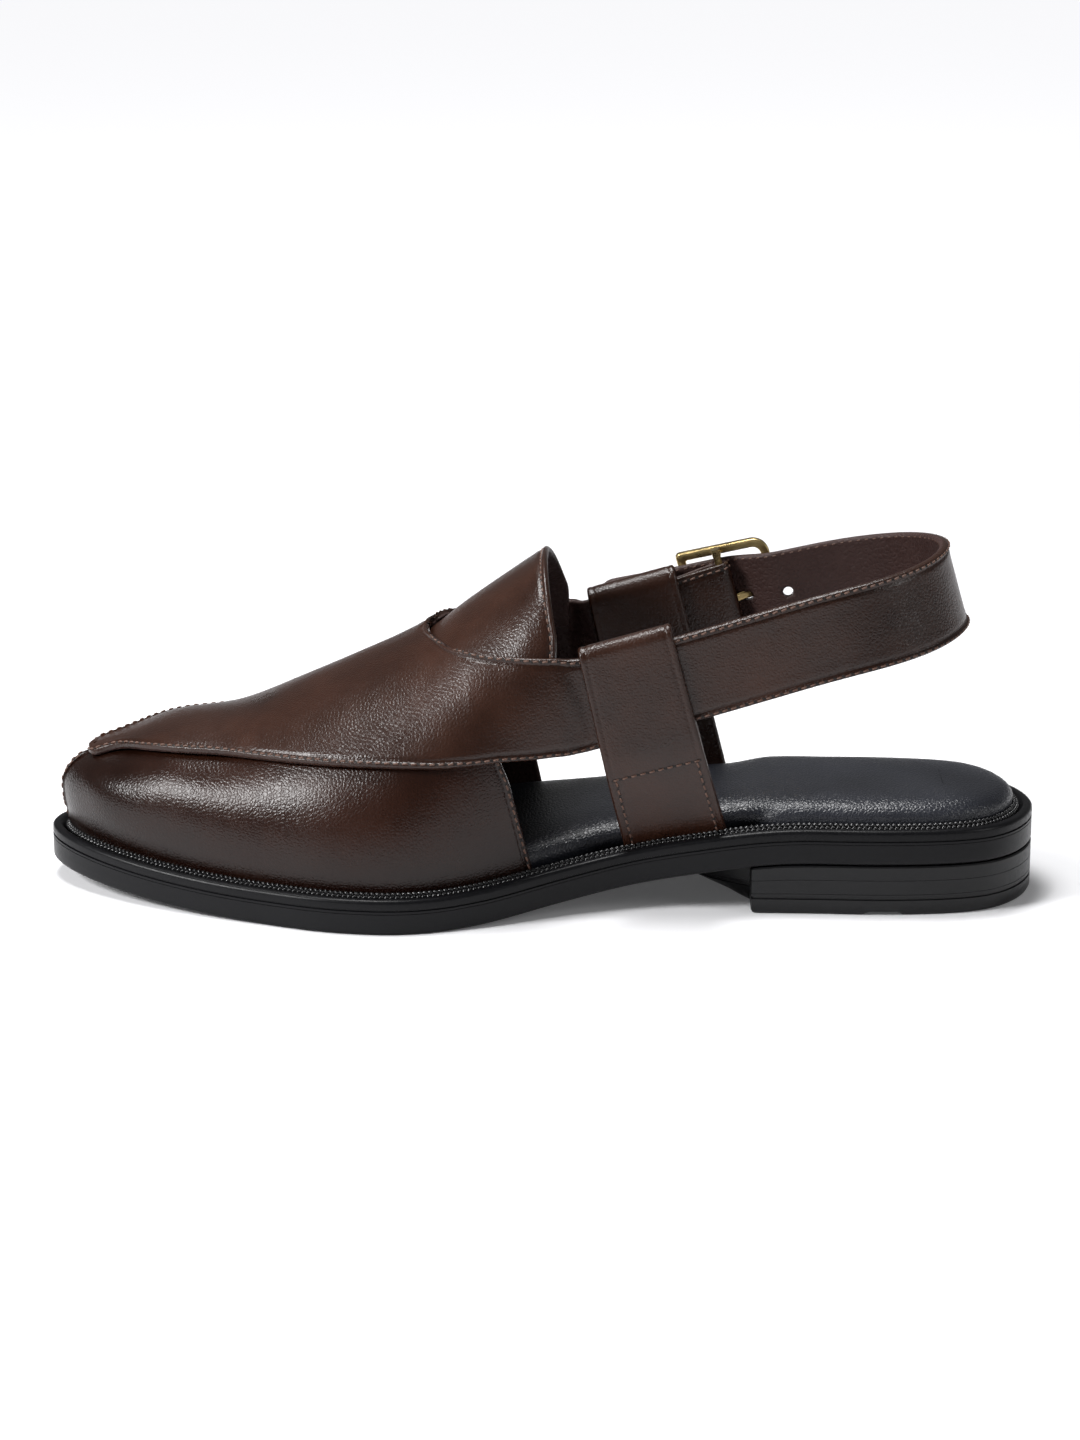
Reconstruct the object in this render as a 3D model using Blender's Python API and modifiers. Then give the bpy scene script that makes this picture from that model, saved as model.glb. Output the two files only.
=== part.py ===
"""Peshawari chappal, right shoe.

A moulded sole unit with a heel block carries a padded insole. The toe vamp, slit at the toe, is closed by
a pointed overlay whose two wings run back beside the instep piece. Each wing passes through a folded loop
that stands on the sole. The medial wing goes on as the heel strap, which comes round the heel to a brass
centre-bar buckle on the lateral side.

Metres, +Z up. The toe points to -X, the medial side is -Y, and the sole rests on Z = 0.
"""
import math

import bmesh
import bpy
import numpy as np

# Sole
sole_length = 0.303
ball_width = 0.112
heel_width = 0.071
sole_thickness = 0.0108
heel_rise = 0.0155
toe_spring = 0.006
toe_swing = 0.004
rim_width = 0.0036
rim_depth = 0.0016
side_groove_drop = 0.003
side_groove_depth = 0.0005
heel_block_length = 0.087
arch_web_length = 0.026
top_piece_height = 0.005
heel_notch_width = 0.011
heel_notch_depth = 0.001

# Leather and padding
insole_thickness = 0.0086
feather_inset = 0.006
vamp_wall = 0.0018
overlay_wall = 0.0020
strap_wall = 0.0024
buckle_strap_wall = 0.0015
loop_wall = 0.0018
toe_slit = 0.0012
gap = 0.0003
overlay_gap = 0.0008

# Upper, on the last
instep_height = 0.0911
vamp_length = 0.1485
vamp_under_overlay = 0.010
throat_place = 0.1185
instep_reach = 0.1537
instep_lean = 0.0085
instep_lean_lateral = 0.0118
instep_skirt = 0.058
overlay_tip_place = 0.0135
overlay_edge_height = 0.038
throat_height = 0.0695
wing_margin = 0.0007
wing_settling = 0.015

# Straps, measured in a frame that leans back with the heel strap
strap_tilt = math.radians(16.0)
strap_width = 0.0265
strap_half_span = 0.0353
strap_height = 0.0582
strap_reach = 0.1467
strap_round = 0.040
strap_dip = 0.0015
strap_climb = 0.0070
strap_hump = 0.0007
strap_tail = 0.0380
strap_approach = 0.0186
loop_front = 0.0343
loop_width = 0.0284
loop_flare = 0.0028
loop_slant = 0.0025
loop_top = 0.0758
lateral_shift = 0.0020
lateral_climb = 0.0010
loop_foot_up = 0.008
loop_foot_clearance = 0.0006
loop_spread = 0.009
tail_round = 0.007

# Buckle
buckle_bar_place = 0.0784
buckle_front = 0.0129
buckle_back = 0.0163
buckle_clearance = 0.0012
buckle_corner = 0.005
front_corner = 0.0014
buckle_strap_width = 0.0250
rail_width = 0.0028
rail_depth = 0.0034
bar_radius = 0.0012
prong_width = 0.0026
prong_wall = 0.0014
prong_hole_length = 0.0064
hole_radius = 0.0016
hole_spacing = 0.0125
hole_count = 4

# Fineness of the meshes
outline_steps = 34
heel_steps = 12
section_steps = 9

# The sole's outline: the place is a share of the length from the toe, the widths are shares of the local width
outline_table = (
    ("place", "medial", "lateral"),
    (0.000, 0.000, 0.000),
    (0.038, 0.172, 0.214),
    (0.120, 0.312, 0.354),
    (0.226, 0.433, 0.443),
    (0.312, 0.508, 0.471),
    (0.361, 0.518, 0.480),
    (0.444, 0.458, 0.488),
    (0.523, 0.383, 0.494),
    (0.582, 0.365, 0.496),
    (0.685, 0.434, 0.503),
    (0.780, 0.484, 0.506),
    (0.856, 0.490, 0.500),
    (0.945, 0.415, 0.420),
    (1.000, 0.000, 0.000),
)

# The last: each row is one section, from where it stands on the sole to where it meets the crest.
# The places are shares of the sole's length from the toe, and the rise is a share of the instep height.
# Side and top say how far up and how far out the section stays full, and swell how far it leans out.
last_table = (
    ("foot", "crest", "rise", "side", "top", "swell"),
    (0.000, 0.0190, 0.029, 0.50, 0.50, 0.00),
    (0.004, 0.0130, 0.107, 0.60, 0.65, 0.30),
    (0.014, 0.0135, 0.190, 0.68, 0.72, 0.32),
    (0.034, 0.0270, 0.251, 0.72, 0.78, 0.34),
    (0.062, 0.0460, 0.290, 0.74, 0.80, 0.34),
    (0.090, 0.0790, 0.338, 0.75, 0.80, 0.32),
    (0.128, 0.1270, 0.402, 0.74, 0.76, 0.28),
    (0.193, 0.1930, 0.455, 0.70, 0.68, 0.21),
    (0.260, 0.2600, 0.555, 0.64, 0.58, 0.18),
    (0.325, 0.3250, 0.654, 0.60, 0.52, 0.17),
    (0.381, 0.3810, 0.742, 0.60, 0.52, 0.18),
    (0.425, 0.4250, 0.849, 0.62, 0.58, 0.19),
    (0.467, 0.4670, 0.935, 0.66, 0.66, 0.20),
    (0.507, 0.5070, 1.000, 0.71, 0.86, 0.27),
    (0.560, 0.5600, 1.050, 0.68, 0.96, 0.44),
    (0.640, 0.6400, 1.084, 0.64, 1.04, 0.62),
)

# Edges of the overlay ahead of the loops, as shares of the edge height and of the throat height
edge_table = (
    ("place", "lower"),
    (0.040, 0.700),
    (0.061, 0.765),
    (0.120, 0.873),
    (0.219, 0.964),
    (0.335, 0.990),
    (0.417, 1.007),
    (0.467, 1.005),
    (0.523, 0.954),
    (0.560, 0.934),
    (0.640, 0.920),
)
throat_table = (
    ("place", "upper"),
    (0.391, 1.000),
    (0.408, 1.003),
    (0.416, 0.994),
    (0.431, 0.985),
    (0.455, 0.971),
    (0.484, 0.963),
    (0.513, 0.946),
    (0.540, 0.928),
    (0.640, 0.880),
)

leather_brown = (0.050, 0.022, 0.013)
insole_navy = (0.026, 0.027, 0.034)
rubber_black = (0.013, 0.013, 0.015)
brass = (0.42, 0.31, 0.13)


def start_empty_scene():
    for old in list(bpy.data.objects):
        bpy.data.objects.remove(old)


def new_collection(name):
    collection = bpy.data.collections.new(name)
    bpy.context.scene.collection.children.link(collection)
    return collection


def material(name, colour, roughness, metallic=0.0):
    made = bpy.data.materials.new(name)
    made.use_nodes = True
    shader = made.node_tree.nodes["Principled BSDF"]
    shader.inputs["Base Color"].default_value = (*colour, 1.0)
    shader.inputs["Roughness"].default_value = roughness
    shader.inputs["Metallic"].default_value = metallic
    return made


def column(table, name):
    index = table[0].index(name)
    return np.array([row[index] for row in table[1:]], dtype=float)


def curve_through(places, values, at):
    """A smooth curve through the given values, read at one place."""
    slopes = np.gradient(values, places)
    i = int(np.clip(np.searchsorted(places, at) - 1, 0, len(places) - 2))
    width = places[i + 1] - places[i]
    s = (at - places[i]) / width
    return (
        values[i] * (1 + 2 * s) * (1 - s) ** 2
        + values[i + 1] * s * s * (3 - 2 * s)
        + width * slopes[i] * s * (1 - s) ** 2
        - width * slopes[i + 1] * s * s * (1 - s)
    )


def ease(value, start, end):
    s = min(max((value - start) / (end - start), 0.0), 1.0)
    return s * s * (3 - 2 * s)


# The sole's outline and heights

spring_end = 0.26
arch_start = 0.39
arch_end = 0.775
waist_start = 0.40
waist_end = 0.80


def x_at(place):
    return (place - 0.5) * sole_length


def place_of(x):
    return x / sole_length + 0.5


def turn_of(place):
    """Places near the toe and heel are spread out, so that the round ends are evenly divided."""
    return math.acos(1 - 2 * min(max(place, 0.0), 1.0)) / math.pi


outline_turns = np.array([turn_of(place) for place in column(outline_table, "place")])
outline_shares = {-1: column(outline_table, "medial"), 1: column(outline_table, "lateral")}


def local_width(place):
    return ball_width + (heel_width - ball_width) * ease(place, waist_start, waist_end)


def centre_line(place):
    return toe_swing * max(1 - place / (spring_end + 0.04), 0.0) ** 2


def lift(x):
    """Height of the sole unit's underside above the ground."""
    place = place_of(x)
    spring = toe_spring * max(1 - place / spring_end, 0.0) ** 2
    return spring + heel_rise * ease(place, arch_start, arch_end)


def edge(side, turn):
    place = (1 - math.cos(math.pi * turn)) / 2
    share = curve_through(outline_turns, outline_shares[side], turn)
    return np.array([x_at(place), centre_line(place) + side * share * local_width(place)])


def inset_edge(side, turn, inset):
    """A point of the outline, moved inwards at right angles to it."""
    step = 0.002
    along = edge(side, min(turn + step, 1.0)) - edge(side, max(turn - step, 0.0))
    if turn < step or turn > 1 - step:
        along[0] = 0.0
    along = along / np.linalg.norm(along)
    inward = side * np.array([along[1], -along[0]])
    return edge(side, turn) + inset * inward


def outline_ring(turns, inset, height):
    """Medial points from toe to heel, then lateral points back. Inset may change along the sole."""
    def point(side, turn):
        amount = inset(turn) if callable(inset) else inset
        x, y = inset_edge(side, turn, amount)
        return (x, y, height(x))
    medial = [point(-1, turn) for turn in turns]
    lateral = [point(1, turn) for turn in reversed(turns[1:-1])]
    return medial + lateral


# Building meshes

def finish_mesh(name, mesh_maker, look, collection, smooth_angle=40.0):
    made = bmesh.new()
    mesh_maker(made)
    bmesh.ops.remove_doubles(made, verts=made.verts, dist=1e-6)
    bmesh.ops.recalc_face_normals(made, faces=made.faces)
    mesh = bpy.data.meshes.new(name)
    made.to_mesh(mesh)
    made.free()
    mesh.shade_smooth()
    mesh.set_sharp_from_angle(angle=math.radians(smooth_angle))
    mesh.materials.append(look)
    item = bpy.data.objects.new(name, mesh)
    collection.objects.link(item)
    return item


def stacked_rings(name, rings, look, collection):
    """Closed rings joined one to the next, with both ends closed across from side to side."""
    def build(made):
        count = len(rings[0])
        verts = [[made.verts.new(point) for point in ring] for ring in rings]
        for lower, upper in zip(verts, verts[1:]):
            for i in range(count):
                j = (i + 1) % count
                made.faces.new((lower[i], lower[j], upper[j], upper[i]))
        for ring in (verts[0], verts[-1]):
            for i in range(count // 2):
                corners = [ring[i], ring[i + 1], ring[count - i - 1], ring[(count - i) % count]]
                unique = list(dict.fromkeys(corners))
                made.faces.new(unique)
    return finish_mesh(name, build, look, collection)


def sheet(name, grids, look, collection, wall, offset=1.0, skip=()):
    """Leather: grids of points, welded where they meet and given a wall. Faces in skip are left out."""
    def build(made):
        for grid in grids:
            verts = [[made.verts.new(point) for point in row] for row in grid]
            for i, (near, far) in enumerate(zip(verts, verts[1:])):
                for j in range(len(near) - 1):
                    if (i, j) not in skip:
                        made.faces.new((near[j], near[j + 1], far[j + 1], far[j]))
    item = finish_mesh(name, build, look, collection)
    solid = item.modifiers.new("wall", "SOLIDIFY")
    solid.thickness = wall
    solid.offset = offset
    return item


def join(item, other, operation, cutters):
    """A Boolean with a piece that is left out of the model."""
    cutters.objects.link(other)
    for collection in list(other.users_collection):
        if collection is not cutters:
            collection.objects.unlink(other)
    other.hide_render = True
    other.display_type = "WIRE"
    cut = item.modifiers.new(other.name, "BOOLEAN")
    cut.operation = operation
    cut.solver = "EXACT"
    cut.object = other
    return item


# Sole unit, heel block and insole

platform_height = sole_thickness - rim_depth
all_turns = [i / outline_steps for i in range(outline_steps + 1)]


def make_outsole(look, collection):
    groove_top = sole_thickness - side_groove_drop
    profile = (
        (rim_width * 1.15, platform_height),
        (rim_width, platform_height + rim_depth * 0.75),
        (rim_width * 0.70, sole_thickness),
        (rim_width * 0.28, sole_thickness - rim_depth * 0.15),
        (0.0, sole_thickness - rim_depth * 0.70),
        (0.0, groove_top),
        (side_groove_depth, groove_top - side_groove_depth * 0.5),
        (side_groove_depth, groove_top - side_groove_depth * 1.5),
        (0.0, groove_top - side_groove_depth * 2.0),
        (0.0, sole_thickness * 0.11),
        (sole_thickness * 0.10, 0.0),
    )
    rings = [
        outline_ring(all_turns, inset, lambda x, rise=rise: lift(x) + rise)
        for inset, rise in profile
    ]
    return stacked_rings("outsole", rings, look, collection)


breast_x = sole_length / 2 - heel_block_length
breast_turn = turn_of(place_of(breast_x))


def heel_ring(inset, height, web):
    """The heel's outline: a web in front of the breast, then the sole's own edge round the heel."""
    turns = [breast_turn + (1 - breast_turn) * i / heel_steps for i in range(heel_steps + 1)]
    front = breast_x + inset
    half_web = heel_width * 0.30
    medial = [(front - web * (1 - s * s), -s * half_web) for s in (0.0, 0.4, 0.75, 0.95)]
    lateral = [(x, -y) for x, y in medial[:0:-1]]
    corners = [inset_edge(side, breast_turn, inset) for side in (-1, 1)]
    medial.append((front, corners[0][1]))
    lateral.insert(0, (front, corners[1][1]))
    medial += [tuple(inset_edge(-1, turn, inset)) for turn in turns[1:]]
    lateral = [tuple(inset_edge(1, turn, inset)) for turn in reversed(turns[1:-1])] + lateral
    return [(x, y, height(x)) for x, y in medial + lateral]


def make_heel_block(look, collection, cutters):
    groove = side_groove_depth
    levels = (
        (groove, lambda x: lift(x) - gap, 1.0),
        (0.0, lambda x: lift(x) - gap - groove, 1.0),
        (0.0, lambda x: (lift(x) + top_piece_height) * 0.5, 0.92),
        (0.0, lambda x: top_piece_height + groove, 0.79),
        (groove, lambda x: top_piece_height + groove * 0.5, 0.76),
        (groove, lambda x: top_piece_height - groove * 0.5, 0.74),
        (0.0, lambda x: top_piece_height - groove, 0.72),
        (0.0, lambda x: groove * 2, 0.36),
        (groove * 2, lambda x: 0.0, 0.25),
    )
    rings = [heel_ring(inset, height, web * arch_web_length) for inset, height, web in levels]
    block = stacked_rings("heel_block", rings, look, collection)
    bpy.ops.mesh.primitive_cube_add(size=1.0, location=(breast_x + heel_block_length * 0.46, 0.0, 0.0))
    notch = bpy.context.object
    notch.name = "heel_notch"
    notch.scale = (heel_notch_width, heel_width * 1.3, heel_notch_depth * 2)
    bpy.context.view_layer.update()
    return join(block, notch, "DIFFERENCE", cutters)


def insole_inset(turn):
    """The padded insole keeps inside the leather that comes down beside it."""
    x = -math.cos(math.pi * turn) * sole_length / 2
    vamp_end = x_at(0) + vamp_length
    beside_vamp = feather_inset + vamp_wall + 3 * gap
    beside_loop = feather_inset + 2 * loop_wall + 5 * gap
    margin = 0.012
    loop_start = loop_front * math.cos(strap_tilt) - loop_flare * 2
    loop_end = loop_start + loop_width + loop_flare * 2
    beside = beside_vamp + (beside_loop - beside_vamp) * ease(x, vamp_end, loop_start)
    return feather_inset + (beside - feather_inset) * (1 - ease(x, loop_end, loop_end + margin))


def make_insole(look, collection):
    base = platform_height + gap
    profile = (
        (0.0012, 0.0),
        (0.0, 0.12),
        (0.0, 0.42),
        (0.0010, 0.66),
        (0.0030, 0.82),
        (0.0070, 0.93),
        (0.0140, 1.0),
    )
    rings = [
        outline_ring(
            all_turns,
            lambda turn, extra=extra: insole_inset(turn) + extra,
            lambda x, share=share: lift(x) + base + insole_thickness * share,
        )
        for extra, share in profile
    ]
    return stacked_rings("insole", rings, look, collection)


# The last, which the vamp, overlay and instep piece are laid on

last_rows = np.arange(len(last_table) - 1, dtype=float)
tip_reach = column(last_table, "crest") * sole_length
last_columns = {name: column(last_table, name) for name in last_table[0]}
first_upright_row = 7


def last_value(name, row):
    return curve_through(last_rows, last_columns[name], row)


def row_at(x):
    """The upright section of the last that stands at x."""
    rows = last_rows[first_upright_row:]
    places = last_columns["crest"][first_upright_row:]
    return float(np.interp(place_of(x), places, rows))


def feather_height(x):
    return lift(x) + platform_height + gap


def last_point(row, across):
    """Across runs from -1 at the medial feather line, over the crest at 0, to 1 at the lateral one."""
    side = -1 if across < 0 else 1
    foot_x, foot_y = inset_edge(side, turn_of(last_value("foot", row)), feather_inset)
    crest_place = last_value("crest", row)
    crest_x = x_at(crest_place)
    middle = centre_line(crest_place)
    foot = np.array([foot_x, foot_y, feather_height(foot_x)])
    rise = last_value("rise", row) * instep_height
    crest = np.array([crest_x, middle, feather_height(crest_x) + rise])
    half = abs(foot_y - middle)
    medial_half = abs(inset_edge(-1, turn_of(last_value("foot", row)), feather_inset)[1] - middle)
    half += (medial_half - half) * ease(crest_place, waist_start - 0.04, waist_start + 0.08)
    shift = (crest_x - foot_x) * 0.5
    low = np.array([
        foot_x + shift * 0.6,
        middle + side * half * (1 + last_value("swell", row)),
        foot[2] + (crest[2] - foot[2]) * last_value("side", row),
    ])
    high = crest + np.array([-shift * 0.4, side * half * last_value("top", row), 0.0])
    s = 1 - abs(across)
    return (1 - s) ** 3 * foot + 3 * (1 - s) ** 2 * s * low + 3 * (1 - s) * s * s * high + s ** 3 * crest


def last_normal(row, across):
    step = 0.01
    side = -1 if across < 0 else 1
    near = min(max(abs(across), step * 1.01), 1 - step)
    over = last_point(row, side * (near + step)) - last_point(row, side * (near - step))
    if abs(across) < step:
        over = np.array([0.0, over[1], 0.0])
    top_row = last_rows[-1]
    along = last_point(min(row + 0.05, top_row), across) - last_point(max(row - 0.05, 0.0), across)
    normal = np.cross(over, along) * side
    return -normal / np.linalg.norm(normal)


def across_at(row, height):
    """How far across a section has to be read to find a height above the feather line."""
    low, high = 0.0, 1.0
    foot = last_point(row, 1.0)[2]
    for _ in range(30):
        middle = (low + high) / 2
        if last_point(row, middle)[2] - foot > height:
            low = middle
        else:
            high = middle
    return (low + high) / 2


def laid_on(row, across, out):
    return last_point(row, across) + out * last_normal(row, across)


def vamp_back(across):
    """The vamp's rear edge runs down from under the overlay to the sole."""
    crest_x = x_at(0) + throat_place - vamp_under_overlay
    foot_x = x_at(0) + vamp_length
    return crest_x + (foot_x - crest_x) * ease(abs(across), 0.05, 0.80)


def make_vamp(look, collection):
    rows = 22
    tip_row = 3.6
    grids = []
    for side in (-1, 1):
        grid = []
        for i in range(rows + 1):
            line = []
            for j in range(section_steps + 1):
                across = side * (1 - j / section_steps)
                row = row_at(vamp_back(across)) * (i / rows)
                point = last_point(row, across)
                if row < tip_row:
                    middle = centre_line(place_of(point[0]))
                    point[1] = middle + side * max(side * (point[1] - middle), toe_slit / 2)
                line.append(tuple(point))
            grid.append(line)
        grids.append(grid)
    return sheet("vamp", grids, look, collection, vamp_wall, offset=-1.0)


def instep_front(share):
    """Where the instep piece starts, just behind the vamp's edge under the overlay."""
    x = x_at(0) + throat_place
    for _ in range(12):
        row = row_at(x)
        x = vamp_back(share * across_at(row, instep_skirt)) + 3 * gap
    return x


def instep_back(share):
    """The arched rear edge leans back as it comes down, more on the lateral side."""
    lean = instep_lean_lateral if share > 0 else instep_lean
    return x_at(0) + instep_reach + lean * min(abs(share), 0.8) ** 2


def make_instep(look, collection):
    rows = 9
    grid = []
    for j in range(2 * section_steps + 1):
        share = j / section_steps - 1
        front = instep_front(share)
        back = instep_back(share)
        line = []
        for i in range(rows + 1):
            row = row_at(front + (back - front) * i / rows)
            line.append(tuple(last_point(row, share * across_at(row, instep_skirt))))
        grid.append(line)
    return sheet("instep_piece", [grid], look, collection, vamp_wall, offset=-1.0)


# The frame that the straps are measured in: along, out to the side, and up

def from_strap(along, out, up):
    x = along * math.cos(strap_tilt) - up * math.sin(strap_tilt)
    z = along * math.sin(strap_tilt) + up * math.cos(strap_tilt)
    return (x, out, z)


def height_of_strap_line(x, up):
    return (up + x * math.sin(strap_tilt)) / math.cos(strap_tilt)


def up_the_strap(x, height):
    return height * math.cos(strap_tilt) - x * math.sin(strap_tilt)


def loop_edge(side, share, up):
    """Where the loop runs, from its front edge at 0 to its rear edge at 1: it flares down to the sole."""
    front = loop_front + (lateral_shift if side > 0 else 0.0)
    drop = min(max((loop_top - up) / (loop_top - loop_foot_up), 0.0), 1.0)
    return front + loop_width * share + (loop_flare * (share - 0.5) - loop_slant) * drop


def climb_on(side):
    """The lateral wing and its loop stand a little higher, where the strap comes up to the buckle."""
    return lateral_climb if side > 0 else 0.0


wing_end = loop_front + loop_width * 0.45
wing_lower = strap_height - strap_width / 2 - wing_margin
wing_upper = strap_height + strap_width / 2 + wing_margin
band_outside = strap_half_span + strap_wall / 2
loop_foot_x = from_strap(loop_front, 0.0, wing_lower)[0]


def overlay_edges(side, x):
    """Heights of the overlay's lower edge and throat edge above the ground."""
    place = place_of(x)
    base = feather_height(x)
    lower = curve_through(column(edge_table, "place"), column(edge_table, "lower"), place)
    upper = curve_through(column(throat_table, "place"), column(throat_table, "upper"), place)
    lower = base + overlay_edge_height * lower
    upper = base + throat_height * upper
    settled = ease(x, loop_foot_x - wing_settling, loop_foot_x)
    lower += (height_of_strap_line(x, wing_lower) - lower) * settled
    upper += (height_of_strap_line(x, wing_upper + climb_on(side)) - upper) * settled
    return lower, upper


throat_x = x_at(0) + throat_place


def overlay_point(side, x, share):
    """A point of the overlay's inner face, from its lower edge at 0 to the crest or throat edge at 1."""
    lean = ease(x, throat_x, loop_foot_x)
    wanted = x
    for _ in range(6 if lean > 0 else 1):
        lower, upper = overlay_edges(side, wanted)
        row = row_at(wanted)
        top = last_point(row, 0.0)[2]
        if wanted <= throat_x or upper >= top:
            upper = top
        height = lower + (upper - lower) * share
        middle = height_of_strap_line(wanted, strap_height)
        wanted = x - lean * (height - middle) * math.tan(strap_tilt)
    base = last_point(row, 1.0)[2]
    low_across = across_at(row, lower - base)
    high_across = 0.0 if upper == top else across_at(row, upper - base)
    if upper == top:
        across = low_across * (1 - share)
    else:
        across = low_across + (high_across - low_across) * share
    point = laid_on(row, side * across, overlay_gap)
    up = min(up_the_strap(wanted, height), wing_upper)
    flat = ease(wanted, instep_back(side) + 4 * gap, from_strap(loop_edge(side, 0.0, up), 0.0, up)[0] - gap)
    point[1] += (side * (band_outside - overlay_wall) - point[1]) * flat
    return point


def overlay_low(row):
    """How far across a section ahead of the throat the overlay's lower edge crosses it."""
    low, high = 0.0, 1.0
    for _ in range(24):
        middle = (low + high) / 2
        x, _y, height = last_point(row, middle)
        if height > overlay_edges(-1, x)[0]:
            low = middle
        else:
            high = middle
    return (low + high) / 2


def make_overlay(look, collection):
    tip_row = float(np.interp(overlay_tip_place, tip_reach, last_rows))
    throat_row = row_at(throat_x)
    front_rows = [tip_row + (throat_row - tip_row) * i / 14 for i in range(15)]
    front_rows.insert(1, front_rows[0] * 0.6 + front_rows[1] * 0.4)
    front = [(row, overlay_low(row)) for row in front_rows]
    front[0] = (tip_row, front[1][1] * 0.15)
    end_x = from_strap(wing_end, 0.0, strap_height)[0]
    back = [throat_x + (end_x - throat_x) * (i / 14) ** 1.5 for i in range(1, 15)]
    shares = [j / section_steps for j in range(section_steps + 1)]
    grids = []
    for side in (-1, 1):
        grid = [[tuple(laid_on(row, side * low * (1 - s), overlay_gap)) for s in shares] for row, low in front]
        grid += [[tuple(overlay_point(side, x, s)) for s in shares] for x in back]
        grids.append(grid)
    return sheet("overlay", grids, look, collection, overlay_wall)


# Loops

def loop_path(side, along, slot_outside):
    """Up from the sole outside the band, over it and back down inside it."""
    half_wall = loop_wall / 2
    outer = slot_outside + half_wall
    inner = band_outside - strap_wall - gap - half_wall
    bend = (outer - inner) / 2
    fold_up = loop_top + climb_on(side) - half_wall - bend
    slot_foot = wing_lower - 4 * gap
    up = loop_foot_up
    for _ in range(8):
        x, _out, _z = from_strap(along, 0.0, up)
        up = (feather_height(x) + loop_foot_clearance - along * math.sin(strap_tilt)) / math.cos(strap_tilt)
    foot_y = abs(inset_edge(side, turn_of(place_of(x)), feather_inset + half_wall)[1])
    outer_leg = []
    inner_leg = []
    steps = 8
    for i in range(steps + 1):
        s = i / steps
        height = up + (slot_foot - up) * s
        out = foot_y + (outer - foot_y) * math.sin(s * math.pi / 2)
        spread = ease(height, slot_foot - loop_spread, slot_foot)
        outer_leg.append((out, height))
        inner_leg.append((out - (loop_wall + gap) * (1 - spread) - (outer - inner) * spread, height))
    outer_leg.append((outer, (slot_foot + fold_up) / 2))
    inner_leg.append((inner, (slot_foot + fold_up) / 2))
    fold = [
        ((outer + inner) / 2 + bend * math.cos(angle), fold_up + bend * math.sin(angle))
        for angle in (math.pi * i / 8 for i in range(9))
    ]
    return outer_leg + fold + inner_leg[::-1]


def make_loop(name, side, slot_outside, look, collection):
    columns = 4
    grid = []
    for j in range(columns + 1):
        share = j / columns
        path = loop_path(side, loop_edge(side, share, loop_foot_up), slot_outside)
        grid.append([from_strap(loop_edge(side, share, up), side * out, up) for out, up in path])
    return sheet(name, [grid], look, collection, loop_wall, offset=0.0)


# Heel strap, buckle strap, buckle and prong

buckle_strap_out = band_outside + gap
bar_out = buckle_strap_out + bar_radius
fold_outside = bar_out + bar_radius + gap + buckle_strap_wall
over_bar = fold_outside + gap + strap_wall / 2
loop_outside = band_outside + gap + buckle_strap_wall + gap + loop_wall
over_loop = loop_outside + gap + strap_wall / 2
strap_leaves = buckle_bar_place + strap_approach
buckle_rear = buckle_bar_place + buckle_back


def strap_out(along):
    """How far out the middle of the strap lies on the lateral side: over the bar, then over the loop."""
    out = strap_half_span + (over_bar - strap_half_span) * ease(-along, -strap_leaves, -buckle_bar_place - 0.001)
    return out - (over_bar - over_loop) * ease(-along, -buckle_bar_place, -buckle_bar_place + buckle_front)


def strap_centre(along, side):
    """Height of the strap's middle line: it dips at the heel and climbs towards its tail."""
    back = (strap_reach - along) / (strap_reach - strap_tail)
    if side > 0:
        return strap_height - strap_dip + strap_climb * back ** 1.35
    corner = strap_reach - strap_round
    hump = strap_hump * ease(along, loop_front + loop_width, corner)
    return strap_height + hump - (strap_dip + hump) * ease(along, corner, strap_reach)


def strap_stations():
    """Middle line of the strap, as places along and out, from the medial loop round to the tail."""
    corner = strap_reach - strap_round
    start = wing_end + gap
    stations = [(start + (corner - start) * i / 5, -strap_half_span, -1) for i in range(5)]
    for i in range(17):
        angle = math.pi * i / 16
        out = -strap_half_span * math.cos(angle)
        stations.append((corner + strap_round * math.sin(angle), out, 1 if i > 8 else -1))
    steps = 20
    for i in range(1, steps + 1):
        along = corner + (strap_tail - corner) * i / steps
        stations.append((along, strap_out(along), 1))
    return stations


def make_heel_strap(look, collection, cutters):
    grid = []
    for along, out, side in strap_stations():
        tip = min((along - strap_tail) / tail_round, 1.0) if side > 0 and out > 0 else 1.0
        half = strap_width / 2 * (0.35 + 0.65 * math.sqrt(max(1 - (1 - tip) ** 2, 0.0)))
        centre = strap_centre(along, side)
        grid.append([from_strap(along, out, centre + half * s) for s in (-1.0, -0.5, 0.0, 0.5, 1.0)])
    strap = sheet("heel_strap", [grid], look, collection, strap_wall, offset=0.0)
    for i in range(hole_count):
        along = prong_crossing() + hole_spacing * (i + 2 - hole_count)
        place = from_strap(along, strap_out(along), strap_centre(along, 1))
        if i == hole_count - 2:
            bpy.ops.mesh.primitive_cube_add(size=1.0, location=place)
            cutter = bpy.context.object
            cutter.scale = (prong_hole_length, 4 * strap_wall, prong_width + 4 * gap)
            cutter.rotation_euler = (0.0, -strap_tilt, 0.0)
        else:
            bpy.ops.mesh.primitive_cylinder_add(
                vertices=12, radius=hole_radius, depth=4 * strap_wall, location=place
            )
            cutter = bpy.context.object
            cutter.rotation_euler = (math.pi / 2, -strap_tilt, 0.0)
        cutter.name = f"strap_hole_{i + 1}"
        join(strap, cutter, "DIFFERENCE", cutters)
    return strap


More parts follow.
